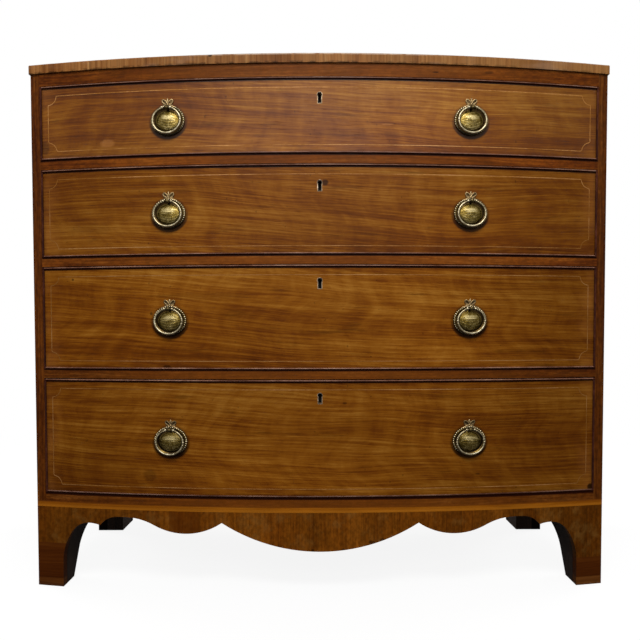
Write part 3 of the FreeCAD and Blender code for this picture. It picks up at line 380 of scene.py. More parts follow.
def rail_finish(floors):
    """Rails: darker veneer on the bow, darker low down and at the top as painted shade, black in a painted
    shadow where a drawer stands on them, oak behind.
    """
    wood = Finish("rail_veneer")
    x, y, z = wood.at
    colour, pores, _ = grain(wood, x, z, wood.depth, RED_MAHOGANY, 4.0, 0.14)
    leaf = wood.noise(x * 6, 0.0, z * 9, 3.0)
    specks = wood.noise(x * 120, 0.5, z * 260, 3.0, 0.6)
    colour = colour.shade(leaf, 0.3, 0.7, 0.8, 1.22).shade(specks, 0.35, 0.65, 0.76, 1.22)
    # painted light: the rails darker low down, and the top rail darker too
    colour = colour.shaded(z.between(0.38, 0.7, 0.68, 1.13) * z.between(0.8, 0.9, 1.0, 0.74))
    colour = colour.mix(wood.side.until(0.16, 0.5) * 0.4, srgb(112, 60, 12))
    # painted shadow: a black line under each drawer's cockbead, widest under the lowest
    for floor in floors:
        reach = 0.003 if floor == floors[-1] else 0.0014
        colour = colour.shadow_blackened(abs(z - floor).until(reach, reach + 0.0018))
    colour = wood.marked(colour, RAIL_MARKS)
    core = grain(wood, x, y, z, OAK, 1.0, 0.02, 0.6)[0]
    return polished(wood, colour.change(core, wood.depth, 0.002, 0.0023), pores)


def side_finish():
    """Sides: upright grain, the narrow front edges darker and the right one darker still as painted shade,
    the inside left dry.
    """
    wood = Finish("side_mahogany")
    x, y, z = wood.at
    colour, pores, _ = grain(wood, z, y + x, x, MAHOGANY, 7.0, 0.12)
    broad = wood.noise(z * 1.2, y * 4, 2.0, 3.0)
    colour = colour.shade(broad, 0.3, 0.7, 0.82, 1.1)
    stile = grain(wood, z, x, wood.depth, RED_MAHOGANY, 2.0, 0.05)[0]
    specks = wood.noise(x * 200, 0.3, z * 90, 4.0, 0.65)
    # painted shade: the right stile darker than the left
    stile = stile.shaded(x.between(-0.4, 0.4, 0.66, 0.56) * specks.between(0.32, 0.68, 0.74, 1.3))
    inner = grain(wood, z, y, x, OAK, 3.0, 0.02)[0]
    colour = colour.mix(wood.side.until(0.4953, 0.4956), inner)
    return polished(wood, colour.mix(wood.depth.until(0.0025, 0.003), stile), pores)


def cross_strips(wood, run, upright, deep, tones, seed, pitch):
    """Crossbanding: short leaves side by side, each of its own tone, their grain across the strip."""
    shaken = run + (wood.noise(run * 14 + seed, 0.0, 0.0, 1.0) - 0.5) * 0.05
    leaf = shaken / pitch + seed
    colour, pores, _ = grain(wood, upright, run, deep, tones, seed, 0.05)
    colour = colour.shaded(leaf.chance() * 0.24 + 0.88).shade(leaf.off_middle(), 0.488, 0.497, 1.0, 0.7)
    fine = wood.noise(run * 260 + seed, upright * 6, 0.0, 3.0, 0.6)
    return colour.shade(fine, 0.3, 0.7, 0.86, 1.14), pores


def top_finish():
    """Top board: long grain inside a crossbanded border, and crossbanding round its edge."""
    wood = Finish("top_mahogany")
    x, y, z = wood.at
    banding, pores = cross_strips(wood, x + y, z * 0.5, wood.depth * 0.4, CROSS_MAHOGANY, 3.0, 0.09)
    chipped = wood.noise(x * 70, y * 70, z * 160, 4.0, 0.6)
    lip = z.until(CASE_TOP + 0.001, CASE_TOP + 0.004)
    banding = banding.shaded(1 - lip * chipped.between(0.45, 0.6) * 0.6)
    haze = wood.noise(x * 7, 0.6, z * 20, 3.0, 0.6)
    banding = banding.mix(haze.between(0.5, 0.66) * 0.42, srgb(150, 121, 102))
    banding = banding.mix(x.between(0.0, 0.3) * 0.38, srgb(122, 86, 48))
    arris = z.between(TOP - 0.0034, TOP - 0.0016) * wood.side.until(0.12, 0.26)
    banding = banding.mix(arris * chipped.between(0.36, 0.52) * 0.65, srgb(196, 178, 158))
    banding = wood.marked(banding, TOP_MARKS)
    field = grain(wood, x, y, z, MAHOGANY, 9.0, 0.12)[0]
    worn = wood.noise(x * 3, y * 3, 0.0, 4.0, 0.6)
    field = field.shade(worn, 0.3, 0.7, 0.85, 1.15)
    long_gap = (wood.depth + 0.004).least(BACK_LINE - y)
    end_gap = 0.515 - wood.side
    gap = long_gap.least(end_gap)
    long_border, _ = cross_strips(wood, x, y * 0.6, 0.0, CROSS_MAHOGANY, 6.0, 0.12)
    end_border, _ = cross_strips(wood, y, x * 0.6, 0.0, CROSS_MAHOGANY, 7.0, 0.12)
    border = long_border.change(end_border, long_gap - end_gap, -0.0002, 0.0002)
    face = border.change(field, gap, BORDER - 0.0002, BORDER + 0.0002)
    line = abs(gap - (BORDER + 0.0012)).until(0.0007, 0.001)
    face = face.mix(line * 0.8, srgb(178, 132, 74))
    return polished(wood, banding.change(face, z, TOP - 0.0012, TOP - 0.0006), pores, 0.34)


def bead_finish(number, low, high):
    """Cockbead, dyed dark: on its lying strips the nose pale on top, partly rubbed and partly a painted
    highlight, darker lower down as painted shade, and the underside black as painted shadow.
    """
    wood = Finish("dark_bead_%d" % number)
    x, y, z = wood.at
    run = wood.noise(x * 9, y * 20, z * 9 + number, 5.0, 0.65)
    fleck = wood.noise(x * 90, y * 300, z * 90, 3.0)
    tone = run * 0.7 + fleck * 0.3
    dyed = tone.ramp(DYED_BEAD)
    # painted highlight with some wear: the lying strips pale on top, darker low down as painted shade
    paler = tone.ramp(RUBBED_AND_LIT_BEAD).shade(z, 0.18, 0.36, 0.66, 1.0)
    lying = wood.side.until(DRAWER_HALF - BEAD - 0.0004, DRAWER_HALF - BEAD)
    colour = dyed.mix(lying, paler)
    # painted shadow: the underside of each lying strip black
    for base in (low, high - BEAD):
        nose = base + (0.0021 if number == 4 and base == low else 0.0015)
        shade = z.until(nose, nose + 0.0006) * z.between(base - 0.0004, base - 0.0002)
        colour = colour.shadow_blackened(shade * lying)
    return wood.surface(colour, (run - 0.5) * 0.24 + 0.74 - lying * 0.44, fleck, 0.0001, gloss=0.08)


def band_finish():
    """Light band over the base, with a fine dark line above it and a pale one below."""
    wood = Finish("light_band")
    x, y, z = wood.at
    colour, pores, _ = grain(wood, x + y, z, wood.depth * 0.2, LIGHT_WOOD, 5.0, 0.1)
    lower = z.until(BASE_TOP - 0.008, BASE_TOP - 0.004)
    upper = z.between(BASE_TOP - 0.0024, BASE_TOP - 0.0014)
    colour = colour.mix(lower * 0.45, srgb(150, 92, 22)).mix(upper * 0.85, srgb(92, 46, 8))
    patchy = wood.noise(x * 8, y * 8, z * 30, 3.0)
    return polished(wood, colour.shade(patchy, 0.3, 0.7, 0.85, 1.12), pores)


def base_finish(name, seed, joint_height, light):
    """Veneer of the apron and feet: upright grain in short leaves, the middle lighter and the right end
    darker as painted light, nearly black behind as painted shade.
    """
    wood = Finish(name)
    x, y, z = wood.at
    run = x + y
    face, pores = cross_strips(wood, run, z, wood.depth * 0.3, BASE_MAHOGANY, seed, 0.055)
    cloud = wood.noise(run * 16, 0.0, z * 9 + seed, 3.0)
    # painted light: the middle lit by the given amount, the right end darker
    middle = wood.side.between(0.1, 0.3, light, min(light, 1.0))
    face = face.shaded(cloud.between(0.3, 0.7, 0.84, 1.16) * middle * x.between(0.28, 0.46, 1.0, 0.87))
    specks = wood.noise(run * 180, 0.2, z * 120 + seed, 3.0, 0.6)
    face = face.shade(specks, 0.35, 0.65, 0.8, 1.2)
    paler = wood.noise(run * 34, 0.4, z * 30 + seed, 5.0, 0.65)
    face = face.mix(paler.between(0.5, 0.7) * 0.34, srgb(112, 78, 34))
    leaf = x.between(-0.266, -0.2654) * x.until(-0.2126, -0.212)
    face = face.mix(leaf * 0.55, srgb(70, 30, 2))
    face = face.change(srgb(136, 80, 14), z, BASE_TOP - 0.0105, BASE_TOP - 0.0101)
    face = wood.marked(face, APRON_CHIPS)
    if joint_height:
        # the foot's lower part, its shoe and its scuffs
        turned = grain(wood, run, z, wood.depth * 0.3, TURNED_MAHOGANY, seed + 2, 0.05)[0]
        above = z - joint_height + x.between(-0.1, 0.1, 0.0, 0.029)
        face = turned.change(face, above, -0.0004, 0.0004)
        shoe = grain(wood, run, z, wood.depth, SHOE_MAHOGANY, seed + 4, 0.05)[0]
        face = shoe.change(face, z, 0.0145, 0.0155)
        scuff = z.until(0.001, 0.01) * wood.cloud(60, 4.0, 0.6).between(0.45, 0.6)
        face = face.mix(scuff * 0.5, srgb(46, 30, 20))
    # painted shade: insides of the feet, the arch's cut edges and the faces under the case nearly black
    painted_shade_inside = grain(wood, x, z, y, SHADED_INSIDE, seed, 0.02)[0]
    covered = wood.depth.between(0.0185, 0.019) * wood.side.until(0.493, 0.4935)
    cut = wood.side.until(0.5112, 0.5116) * y.between(0.0, 0.02)
    rear = y.between(BACK_LINE - 0.002, BACK_LINE - 0.0015)
    colour = face.mix(covered.most(cut) * (1 - rear), painted_shade_inside)
    return polished(wood, colour, pores, 0.42, 0.02)


def line_finish():
    """Boxwood stringing, yellowed and in places worn under the polish, lighter high up and in the middle as
    painted light.
    """
    wood = Finish("boxwood_line")
    x, _, z = wood.at
    worn = wood.noise(x * 7, 0.0, z * 16, 4.0, 0.65)
    fleck = wood.noise(x * 200, 0.0, z * 200, 2.0)
    colour = (worn * 0.75 + fleck * 0.25).ramp(BOXWOOD)
    # painted light: lighter on the upper drawers and towards the middle
    colour = colour.shaded(z.between(0.5, 0.9, 0.8, 1.36) * wood.side.between(0.16, 0.44, 1.14, 0.94))
    return wood.surface(colour, 0.4, fleck, 0.00005, gloss=0.05)


# ---- metals
def brass_finish(name, dark, middle, light, rough=0.34, dirty_and_shaded=True):
    """Old brass: bright where it is rubbed, brown in its hollows and where its attribute holds painted
    shade, duller low down in painted shade.
    """
    brass = Finish(name)
    x, y, z = brass.at
    cloud = brass.cloud(160, 4.0, 0.6)
    speck = brass.noise(x * 500, y * 500, z * 1300, 3.0)
    tone = (cloud - 0.5) * 0.4 + (speck - 0.5) * 0.45 + 0.5
    if dirty_and_shaded:
        dirt = brass.node("ShaderNodeAttribute", {"attribute_name": "dirt"}, out="Fac")
        tone = tone - dirt * 0.42 + 0.03
    colour = tone.ramp(stops((14, 9, 4), dark, middle, light, places=(0.1, 0.32, 0.5, 0.66)))
    if dirty_and_shaded:
        colour = colour.mix(dirt.between(0.05, 0.6) * 0.5, srgb(68, 51, 31))
    # painted shade: all brass duller low down
    colour = colour.shade(z, 0.24, 0.74, 0.84, 1.0)
    return brass.surface(colour, (cloud - 0.5) * 0.25 + rough, speck, 0.00008, metal=1.0)


def lock_finish(number, high):
    """Lock case and keyhole lining: dull brass, black in and close round the keyhole as painted shade."""
    brass = Finish("lock_brass_%d" % number)
    z = brass.at[2]
    cloud = brass.cloud(160, 4.0, 0.6)
    up = z - KEYHOLE[number]
    head = up - 0.005
    slot = (brass.side - 0.003).most(abs(up) - 0.0091)
    near = slot.least((brass.side * brass.side + head * head) ** 0.5 - 0.0041)
    lining = cloud.ramp(stops((80, 62, 44), (110, 90, 66), (140, 118, 92), (172, 150, 124)))
    case = (cloud * 0.5 + 0.25).ramp(stops((96, 78, 38), (116, 96, 50), (134, 113, 62), (156, 135, 82)))
    colour = lining.change(case, brass.depth, 0.0205, 0.021)
    # painted shade: the keyhole's walls, the case seen through it and the inner edge of the lining turned
    # black
    hollow = brass.depth.between(0.0001, 0.0004).most(near.until(-0.0001, 0.0003))
    hollow = hollow * brass.depth.until(0.0212, 0.0215) * z.until(high - 0.0012, high - 0.0008)
    return brass.surface(colour.shaded(1 - hollow * 0.97), hollow * 0.3 + 0.5, cloud, 0.00008,
                         metal=1 - hollow)


# ---- meshes
class Form:
    """Points and faces gathered for one piece, with the dirt in its hollows and painted shade where it lies
    under or behind other parts.
    """

    def __init__(self):
        self.points = []
        self.faces = []
        self.dirt = []

    def ring(self, points, dirt=0.0):
        first = len(self.points)
        self.points.extend(points)
        self.dirt.extend([dirt] * len(points) if isinstance(dirt, (int, float)) else dirt)
        return list(range(first, first + len(points)))

    def bridge(self, one, other):
        for a, b, c, d in zip(one, one[1:] + one[:1], other[1:] + other[:1], other):
            self.faces.append((a, b, c, d))

    def close(self, ring, tip, dirt=0.0):
        (end,) = self.ring([tip], dirt)
        for a, b in zip(ring, ring[1:] + ring[:1]):
            self.faces.append((a, b, end))

    def tube(self, path, across, radii, round_=False, sides=10, dirt=0.0, flat=1.0):
        """A rod along the path: across is the direction of its thickness, flat its share of the width."""
        rings = []
        count = len(path)
        for i, (centre, radius) in enumerate(zip(path, radii)):
            before = path[(i - 1) % count] if round_ or i else path[i]
            after = path[(i + 1) % count] if round_ or i < count - 1 else path[i]
            wide = (after - before).normalized().cross(across).normalized()
            rings.append(self.ring([
                centre + wide * (radius * cos(turn)) + across * (radius * flat * sin(turn))
                for turn in turns(sides)], dirt))
        for one, other in zip(rings, rings[1:] + (rings[:1] if round_ else [])):
            self.bridge(one, other)
        if not round_:
            self.close(rings[0], path[0], dirt)
            self.close(rings[-1], path[-1], dirt)

    def ball(self, centre, radius, sides=12, rows=7, dirt=0.0, stretch=(1, 1, 1)):
        wide, deep, high = [radius * share for share in stretch]
        rings = []
        for row in range(1, rows):
            tilt = pi * row / rows
            rings.append(self.ring([centre + Vector((
                wide * sin(tilt) * cos(turn), deep * sin(tilt) * sin(turn),
                high * cos(tilt))) for turn in turns(sides)], dirt))
        for one, other in zip(rings, rings[1:]):
            self.bridge(one, other)
        self.close(rings[0], centre + Vector((0, 0, high)), dirt)
        self.close(rings[-1], centre - Vector((0, 0, high)), dirt)

    def add(self, other, place):
        """Another form, moved to its place."""
        first = len(self.points)
        self.points.extend(place @ point for point in other.points)
        self.dirt.extend(other.dirt)
        self.faces.extend(tuple(first + index for index in face) for face in other.faces)

    def piece(self, name, material):
        """An object of the form, smooth but for its edges over 40 degrees."""
        mesh = bpy.data.meshes.new(name)
        mesh.from_pydata([tuple(point) for point in self.points], [], self.faces)
        mesh.attributes.new("dirt", "FLOAT", "POINT").data.foreach_set("value", self.dirt)
        loose = bmesh.new()
        loose.from_mesh(mesh)
        bmesh.ops.recalc_face_normals(loose, faces=loose.faces)
        for face in loose.faces:
            face.smooth = True
        for edge in loose.edges:
            edge.smooth = edge.calc_face_angle(0.0) < radians(40)
        loose.to_mesh(mesh)
        loose.free()
        mesh.materials.append(material)
        return placed(name, mesh)


def turns(count):
    """Angles of the points of a ring."""
    return [tau * k / count for k in range(count)]


def placed(name, data):
    """An object of that mesh, lamp or camera, put into the scene."""
    made = bpy.data.objects.new(name, data)
    scene.collection.objects.link(made)
    return made


# ---- shapes made by nodes
class Pattern(Nodes):
    """A shape tree with named inputs."""

    def __init__(self, name, **inputs):
        tree = bpy.data.node_groups.new(name, "GeometryNodeTree")
        super().__init__(tree)
        tree.interface.new_socket("Geometry", in_out="OUTPUT", socket_type="NodeSocketGeometry")
        self.keys = {}
        for label, kind in [("Geometry", "Geometry")] + list(inputs.items()):
            socket = tree.interface.new_socket(label, in_out="INPUT", socket_type="NodeSocket" + kind)
            self.keys[label] = socket.identifier
        self.group = tree.nodes.new("NodeGroupInput")

    def __getitem__(self, label):
        """The input of that name."""
        return Value(self, self.group.outputs[label])

    def end(self, shape):
        """Make instances real, give them their finish and hand the shape out."""
        real = self.node("GeometryNodeRealizeInstances", {}, {"Geometry": shape})
        done = self.node("GeometryNodeSetMaterial", {}, {"Geometry": real, "Material": self["Finish"]})
        self.node("NodeGroupOutput", {}, {"Geometry": done})
        return self

    def make(self, name, points, edges=(), leans=None, **values):
        """A plain mesh from the tree, worked on the given points."""
        mesh = bpy.data.meshes.new(name)
        mesh.from_pydata(points, edges, [])
        if leans:
            mesh.attributes.new("turn", "FLOAT", "POINT").data.foreach_set("value", leans)
        made = placed(name, mesh)
        modifier = made.modifiers.new(name, "NODES")
        modifier.node_group = self.tree
        for label, value in values.items():
            modifier[self.keys[label]] = value
        plain = bpy.data.meshes.new_from_object(made.evaluated_get(bpy.context.evaluated_depsgraph_get()))
        made.modifiers.clear()
        made.data = plain
        plain.name = name
        return made


def rope_pattern():
    """Slanting beads round an oval, on each plate."""
    tree = Pattern("rope_border", Half_Width="Float", Half_Height="Float", Beads="Int", Long="Float",
                   Thick="Float", Slant="Float", Lift="Float", Finish="Material")
    circle = tree.node("GeometryNodeCurvePrimitiveCircle", {}, {"Resolution": 96, "Radius": 1.0})
    size = tree.spot(tree["Half_Width"], tree["Half_Height"], 1.0)
    oval = tree.node("GeometryNodeTransform", {}, {"Geometry": circle, "Scale": size})
    spots = tree.node("GeometryNodeCurveToPoints", {"mode": "COUNT"},
                      {"Curve": oval, "Count": tree["Beads"]})
    tangent = Value(tree, tree.tree.nodes[-1].outputs["Tangent"])
    turn = tree.sum("ARCTAN2", tangent.part("Y"), tangent.part("X")) + tree["Slant"]
    ball = tree.node("GeometryNodeMeshUVSphere", {}, {"Segments": 8, "Rings": 6, "Radius": 1.0})
    bead_size = tree.spot(tree["Long"], tree["Thick"], tree["Thick"])
    beads = tree.node("GeometryNodeInstanceOnPoints", {}, {
        "Points": spots, "Instance": ball, "Rotation": tree.spot(0.0, 0.0, turn), "Scale": bead_size})
    upright = tree.node("GeometryNodeTransform", {}, {
        "Geometry": beads, "Translation": tree.spot(0.0, 0.0 - tree["Lift"], 0.0),
        "Rotation": (pi / 2, 0.0, 0.0)})
    lean = tree.node("GeometryNodeInputNamedAttribute", {"data_type": "FLOAT"}, {"Name": "turn"})
    rings = tree.node("GeometryNodeInstanceOnPoints", {}, {
        "Points": tree["Geometry"], "Instance": upright, "Rotation": tree.spot(0.0, 0.0, lean)})
    real = tree.node("GeometryNodeRealizeInstances", {}, {"Geometry": rings})
    return tree.end(tree.node("GeometryNodeSetShadeSmooth", {}, {"Geometry": real}))


def inlay_pattern():
    """A square string swept along a flat path, then bent on to the bow."""
    tree = Pattern("inlay", Width="Float", Deep="Float", Step="Float", Radius="Float", Centre="Float",
                   Finish="Material")
    path = tree.node("GeometryNodeMeshToCurve", {}, {"Mesh": tree["Geometry"]})
    path = tree.node("GeometryNodeResampleCurve", {"mode": "LENGTH"},
                     {"Curve": path, "Length": tree["Step"]})
    section = tree.node("GeometryNodeCurvePrimitiveQuadrilateral", {}, {
        "Width": tree["Deep"], "Height": tree["Width"]})
    strip = tree.node("GeometryNodeCurveToMesh", {}, {"Curve": path, "Profile Curve": section})
    x = tree.node("GeometryNodeInputPosition").part("X")
    radius = tree["Radius"]
    bow = tree["Centre"] - (radius * radius - x * x) ** 0.5
    bent = tree.node("GeometryNodeSetPosition", {}, {"Geometry": strip, "Offset": tree.spot(0.0, bow, 0.0)})
    return tree.end(tree.node("GeometryNodeSetShadeSmooth", {}, {"Geometry": bent, "Shade Smooth": False}))


def stud_pattern():
    """Nail or screw heads set on points, each turned its own way."""
    tree = Pattern("studs", Head="Object", Seed="Int", Finish="Material")
    head = tree.node("GeometryNodeObjectInfo", {}, {"Object": tree["Head"]}, "Geometry")
    spin = tree.node("FunctionNodeRandomValue", {"data_type": "FLOAT"}, {
        2: 0.0, 3: tau, "Seed": tree["Seed"]}, 1)
    return tree.end(tree.node("GeometryNodeInstanceOnPoints", {}, {
        "Points": tree["Geometry"], "Instance": head, "Rotation": tree.spot(0.0, spin, 0.0)}))


def stud_head(name, radius, rise, material):
    """A low domed head, its face towards +y."""
    form = Form()
    sides = 10
    foot = -0.0006
    rows = [form.ring([Vector((radius * share * cos(turn), rise * (1 - share ** 2),
                               radius * share * sin(turn))) for turn in turns(sides)], dirt)
            for share, dirt in ((1.0, 0.9), (0.9, 0.2), (0.5, 0.0))]
    base = form.ring([Vector((point.x, foot, point.z)) for point in form.points[:sides]], 1.0)
    for one, other in zip([base] + rows, rows):
        form.bridge(one, other)
    form.close(rows[2], Vector((0, rise, 0)))
    form.close(base, Vector((0, foot, 0)))
    return form.piece(name, material)


# ---- brass mounts
def handle_place(body):
    """Matrix from a handle's own frame, on the pivot of its bail, to the chest: x along, -y out, z up."""
    joint = joints[body]
    along = Vector([-part for part in joint["axis"]])
    inward = Vector((0, 0, 1)).cross(along)
    turn = Matrix((along, inward, Vector((0, 0, 1)))).transposed().to_4x4()
    return Matrix.Translation(Vector(joint["pos_m"])) @ turn


def on_plate(wide, high, turn, out):
    """A point of the plate, from the middle of its oval."""
    return Vector((wide * cos(turn), PIVOT_OUT - out, high * sin(turn) - PIVOT_UP))


def reeding(half_wide, half_high, turn):
    """How deep the dome's curved reeds are cut at a point, and the dirt and painted light there."""
    pitch = 0.0026
    cut = 0.00026
    up = half_high * sin(turn)
    edge = half_wide / DOME[0]
    aside = edge * cos(turn)
    bent = up + 0.003 * aside ** 2 * (1 if up < 0 else -1)
    reed = 0.5 + 0.5 * cos(tau * bent / pitch)
    dirt = 0.42 * (1 - reed) + 0.2 * edge ** 14
    # painted shade along the dome's upper edge under the ring, the lower half lighter as painted light, and
    # a painted highlight as a pale band above the middle
    dirt += 0.4 * edge ** 8 * max(0.0, up / DOME[1]) - 0.26 * max(0.0, -up / DOME[1])
    paler = exp(-((up - 0.005) / 0.0034) ** 2 - (aside / 0.5) ** 2)
    return cut * (1 - reed) * (1 - edge ** 6), dirt - 0.8 * paler


def plate_form():
    """Oval plate: reeded dome, dark hollow of dirt and painted shade, lip, trough for the rope border and
    rim, these two dark below in painted shadow.
    """
    form = Form()
    domed = 30
    margin = 0.0097
    trough = 0.0262
    wide, high, rise = DOME
    rows = []
    for step in range(1, domed + 1):
        share = step / domed
        rows.append((wide * share, high * share, FIELD + rise * sqrt(1 - share ** 2), None))
    # rings out from the dome: the first ones dark with dirt and painted shade under the ring
    for out, lift, dirt in ((0.0003, -0.0001, 1.0), (0.0014, -0.0003, 1.0), (0.003, -0.0002, 0.8),
                            (0.0044, 0.0002, 0.4), (0.0051, 0.001, 0.15), (0.0057, 0.0012, 0.15),
                            (0.0063, 0.0008, 0.4), (0.0068, 0.0003, 0.7), (0.0084, 0.0002, 0.7),
                            (0.0089, 0.0006, 0.3), (0.0093, 0.0007, 0.15), (margin, 0.0002, 0.4),
                            (margin, -0.0012, 0.8)):
        share = out / margin
        rows.append((wide + (PLATE[0] - wide) * share, high + (PLATE[1] - high) * share, FIELD + lift, dirt))
    rings = []
    for half_wide, half_high, out, dirt in rows:
        points = []
        darkness = []
        for turn in turns(112):
            cut = 0.0
            darkening = dirt
            if dirt is None:
                cut, darkening = reeding(half_wide, half_high, turn)
            # painted shadow: the trough and rim darker towards the foot of the plate, under the ring
            elif half_wide > trough:
                darkening = dirt + 0.85 * max(0.0, -sin(turn))
            points.append(on_plate(half_wide, half_high, turn, out - cut))
            darkness.append(min(1.0, darkening))
        rings.append(form.ring(points, darkness))
    for one, other in zip(rings, rings[1:]):
        form.bridge(one, other)
    form.close(rings[0], on_plate(0, 0, 0, FIELD + rise - 0.00005), 0.0)
    form.close(rings[-1], on_plate(0, 0, 0, 0), 1.0)
    return form


def ribbon_loop(knot, hand):
    """Path of one loop of the ribbon bow, leaning up and outward from the knot."""
    tilt = radians(38)
    path = []
    for turn in turns(20):
        run = 0.0059 * (1 - cos(turn)) * 0.98
        rise = 0.0036 * sin(turn) * (0.35 + 0.65 * (1 - cos(turn)) / 2)
        path.append(knot + Vector((hand * (run * cos(tilt) - rise * sin(tilt)),
                                   -0.0002 - 0.0004 * sin(turn),
                                   run * sin(tilt) + rise * cos(tilt))))
    return path


def ribbon_bow_form():
    """Ribbon bow at the head of a plate: knot, two loops, a bud between them and two tails on the rim."""
    form = Form()
    out = Vector((0, -1, 0))
    knot = on_plate(0, PLATE[1] + 0.0012, pi / 2, 0.0016)
    form.ball(knot, 0.0026, 12, 7, 0.1, (1.0, 0.75, 0.9))
    form.ball(knot + Vector((0, 0, 0.0062)), 0.0021, 10, 7, 0.0, (0.85, 0.55, 2.1))
    for hand in (1, -1):
        form.ball(knot + Vector((hand * 0.0023, 0, 0.0048)), 0.0014, 8, 6, 0.2, (0.8, 0.6, 1.9))
        form.ball(knot + Vector((hand * 0.0048, 0.0004, 0.0004)), 0.002, 10, 6, 0.2, (1.9, 0.5, 0.7))
        loop = ribbon_loop(knot, hand)
        form.tube(loop, out, [0.001] * len(loop), True, 8, 0.0, 0.8)
        # a web closes each loop, darkened as dirt and painted shade in its hollow
        web = form.ring([point + Vector((0, 0.0004, 0)) for point in loop], 0.5)
        under = form.ring([point + Vector((0, 0.0016, 0)) for point in loop], 0.6)
        middle = sum(loop, Vector()) / len(loop)
        form.bridge(web, under)
        form.close(web, middle + Vector((0, 0.0002, 0)), 0.5)
        form.close(under, middle + Vector((0, 0.0016, 0)), 0.6)
        widths = [0.0016, 0.0018, 0.0015, 0.0013, 0.0016, 0.0018, 0.0016, 0.0013, 0.0006]
        tail = []
        for k in range(len(widths)):
            share = k / (len(widths) - 1)
            turn = pi / 2 - hand * (0.06 + 0.44 * share)
            swell = 0.0004 + 0.0009 * sin(share * pi * 2.2) - 0.0012
            tail.append(on_plate(PLATE[0] + swell, PLATE[1] + swell, turn, 0.0021))
        form.tube(tail, out, widths, False, 8, 0.15, 0.5)
    return form


def bail_form():
    """Ring bail in its own frame: a straight pin, knuckles, an oval rod with small beads and a grip."""
    form = Form()
    wide, high, thick = BAIL
    across = Vector((0, -1, 0))
    count = 120
    start = asin(0.0068 / wide)
    path = []
    radii = []
    for k in range(count + 1):
        turn = start + (tau - 2 * start) * k / count
        x = wide * sin(turn)
        z = -high + high * cos(turn)
        path.append(Vector((x, 0, z)))
        radius = thick * (0.8 + 0.2 * min(1.0, -z / high))
        if z < -1.8 * high:
            ribs = cos(tau * x / 0.0024)
            grip = max(0.0, min(1.0, (0.0078 - abs(x)) / 0.0008))
            radius += grip * (0.0003 + 0.00014 * ribs)
        radii.append(radius)
    form.tube(path, across, radii, False, 12)
    pin = [Vector((x, 0, 0)) for x in (-0.0078, -0.006, 0.0, 0.006, 0.0078)]
    form.tube(pin, across, [0.0013] * len(pin), False, 10, 0.35)
    neck = 0.0108
    collar = 0.008
    for hand in (1, -1):
        form.ball(Vector((hand * 0.0071, 0, -0.0004)), 0.0029, 14, 9, 0.0, (0.92, 1.0, 1.0))
        form.ball(Vector((hand * neck, 0, high * sqrt(1 - (neck / wide) ** 2) - high)), 0.0022,
                  12, 8, 0.2)
        for step in (-1, 0, 1):
            z = step * 0.0044
            x = wide * sqrt(1 - (z / high) ** 2)
            form.ball(Vector((hand * x, 0, z - high)), 0.0025 - 0.0003 * abs(step), 12, 8, 0.05,
                      (1, 1, 0.72))
        form.ball(Vector((hand * collar, 0, -high - high * sqrt(1 - (collar / wide) ** 2))), 0.0026,
                  12, 8, 0.0, (0.62, 1, 1))
    # painted shade: the rod darker towards its back, the side facing the plate
    form.dirt = [max(dirt, 0.62 * min(1.0, 0.5 + 0.5 * point.y / thick))
                 for dirt, point in zip(form.dirt, form.points)]
    return form


def rope_finish(number):
    """Brass of a rope border: pale at the head of the plate, black at its foot in painted shadow."""
    brass = Finish("rope_brass_%d" % number)
    fleck = brass.cloud(500)
    colour = fleck.ramp(stops((104, 90, 64), (150, 134, 100), (186, 170, 134), (214, 200, 168)))
    # painted shadow: darker towards the foot of the plate
    colour = colour.shade(brass.at[2] - HANDLE_Z[number], -0.022, 0.002, 0.05, 1.0)
    return brass.surface(colour, 0.34, fleck, 0.00005, metal=1.0)


def make_handles():
    """Brass mounts of every drawer, and the rope border on its plates."""
    plate_brass = brass_finish("plate_brass", (62, 48, 15), (106, 88, 36), (182, 164, 114), 0.28)
    bow_brass = brass_finish("bow_brass", (78, 61, 38), (122, 101, 68), (158, 136, 98), 0.38)
    bail_brass = brass_finish("bail_brass", (90, 78, 56), (140, 128, 99), (202, 192, 164), 0.32)
    rope = rope_pattern()
    plate = plate_form()
    ribbon = ribbon_bow_form()
    bail = bail_form()
    for number in DRAWERS:
        body = "drawer_%d" % number
        both = Form()
        ribbons = Form()
        middles = []
        leans = []
        for hand in SIDES:
            name = "bail_%d_%s" % (number, hand)
            place = handle_place(name)
            both.add(plate, place)
            ribbons.add(ribbon, place)
            middles.append(place @ Vector((0, PIVOT_OUT, -PIVOT_UP)))
            leans.append(atan2(place[1][0], place[0][0]))
            single = Form()
            single.add(bail, place)
            ring = single.piece("ring_%d_%s" % (number, hand), bail_brass)
            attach(ring, name)
            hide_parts("drawer_%d_bail_%s" % (number, hand))
        plates = both.piece("oval_plates_%d" % number, plate_brass)
        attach(plates, body)
        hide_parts("drawer_%d_handle_plates" % number)
        bows = ribbons.piece("ribbon_bows_%d" % number, bow_brass)
        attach(bows, body)
        border = rope.make("rope_borders_%d" % number, middles, (), leans, Half_Width=0.0281,
                           Half_Height=0.0244, Beads=44, Long=0.002, Thick=0.00125, Slant=0.55,
                           Lift=0.0018, Finish=rope_finish(number))
        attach(border, body)


# ---- stringing
def string_path(low, high):
    """Closed path of a drawer's stringing, its corners hollowed, with x along and z up."""
    hollow = 0.0155
    count = 9
    right = DRAWER_HALF - 0.015
    bottom = low + 0.0148
    top = high - 0.0168
    points = []
    for x, z, first in ((right, top, pi), (-right, top, -pi / 2), (-right, bottom, 0.0),
                        (right, bottom, pi / 2)):
        for k in range(count):
            turn = first + pi / 2 * (1 - k / (count - 1))
            points.append((x + hollow * cos(turn), 0.0, z + hollow * sin(turn)))
    order = points[count:] + points[:count]
    return order, [(k, (k + 1) % len(order)) for k in range(len(order))]


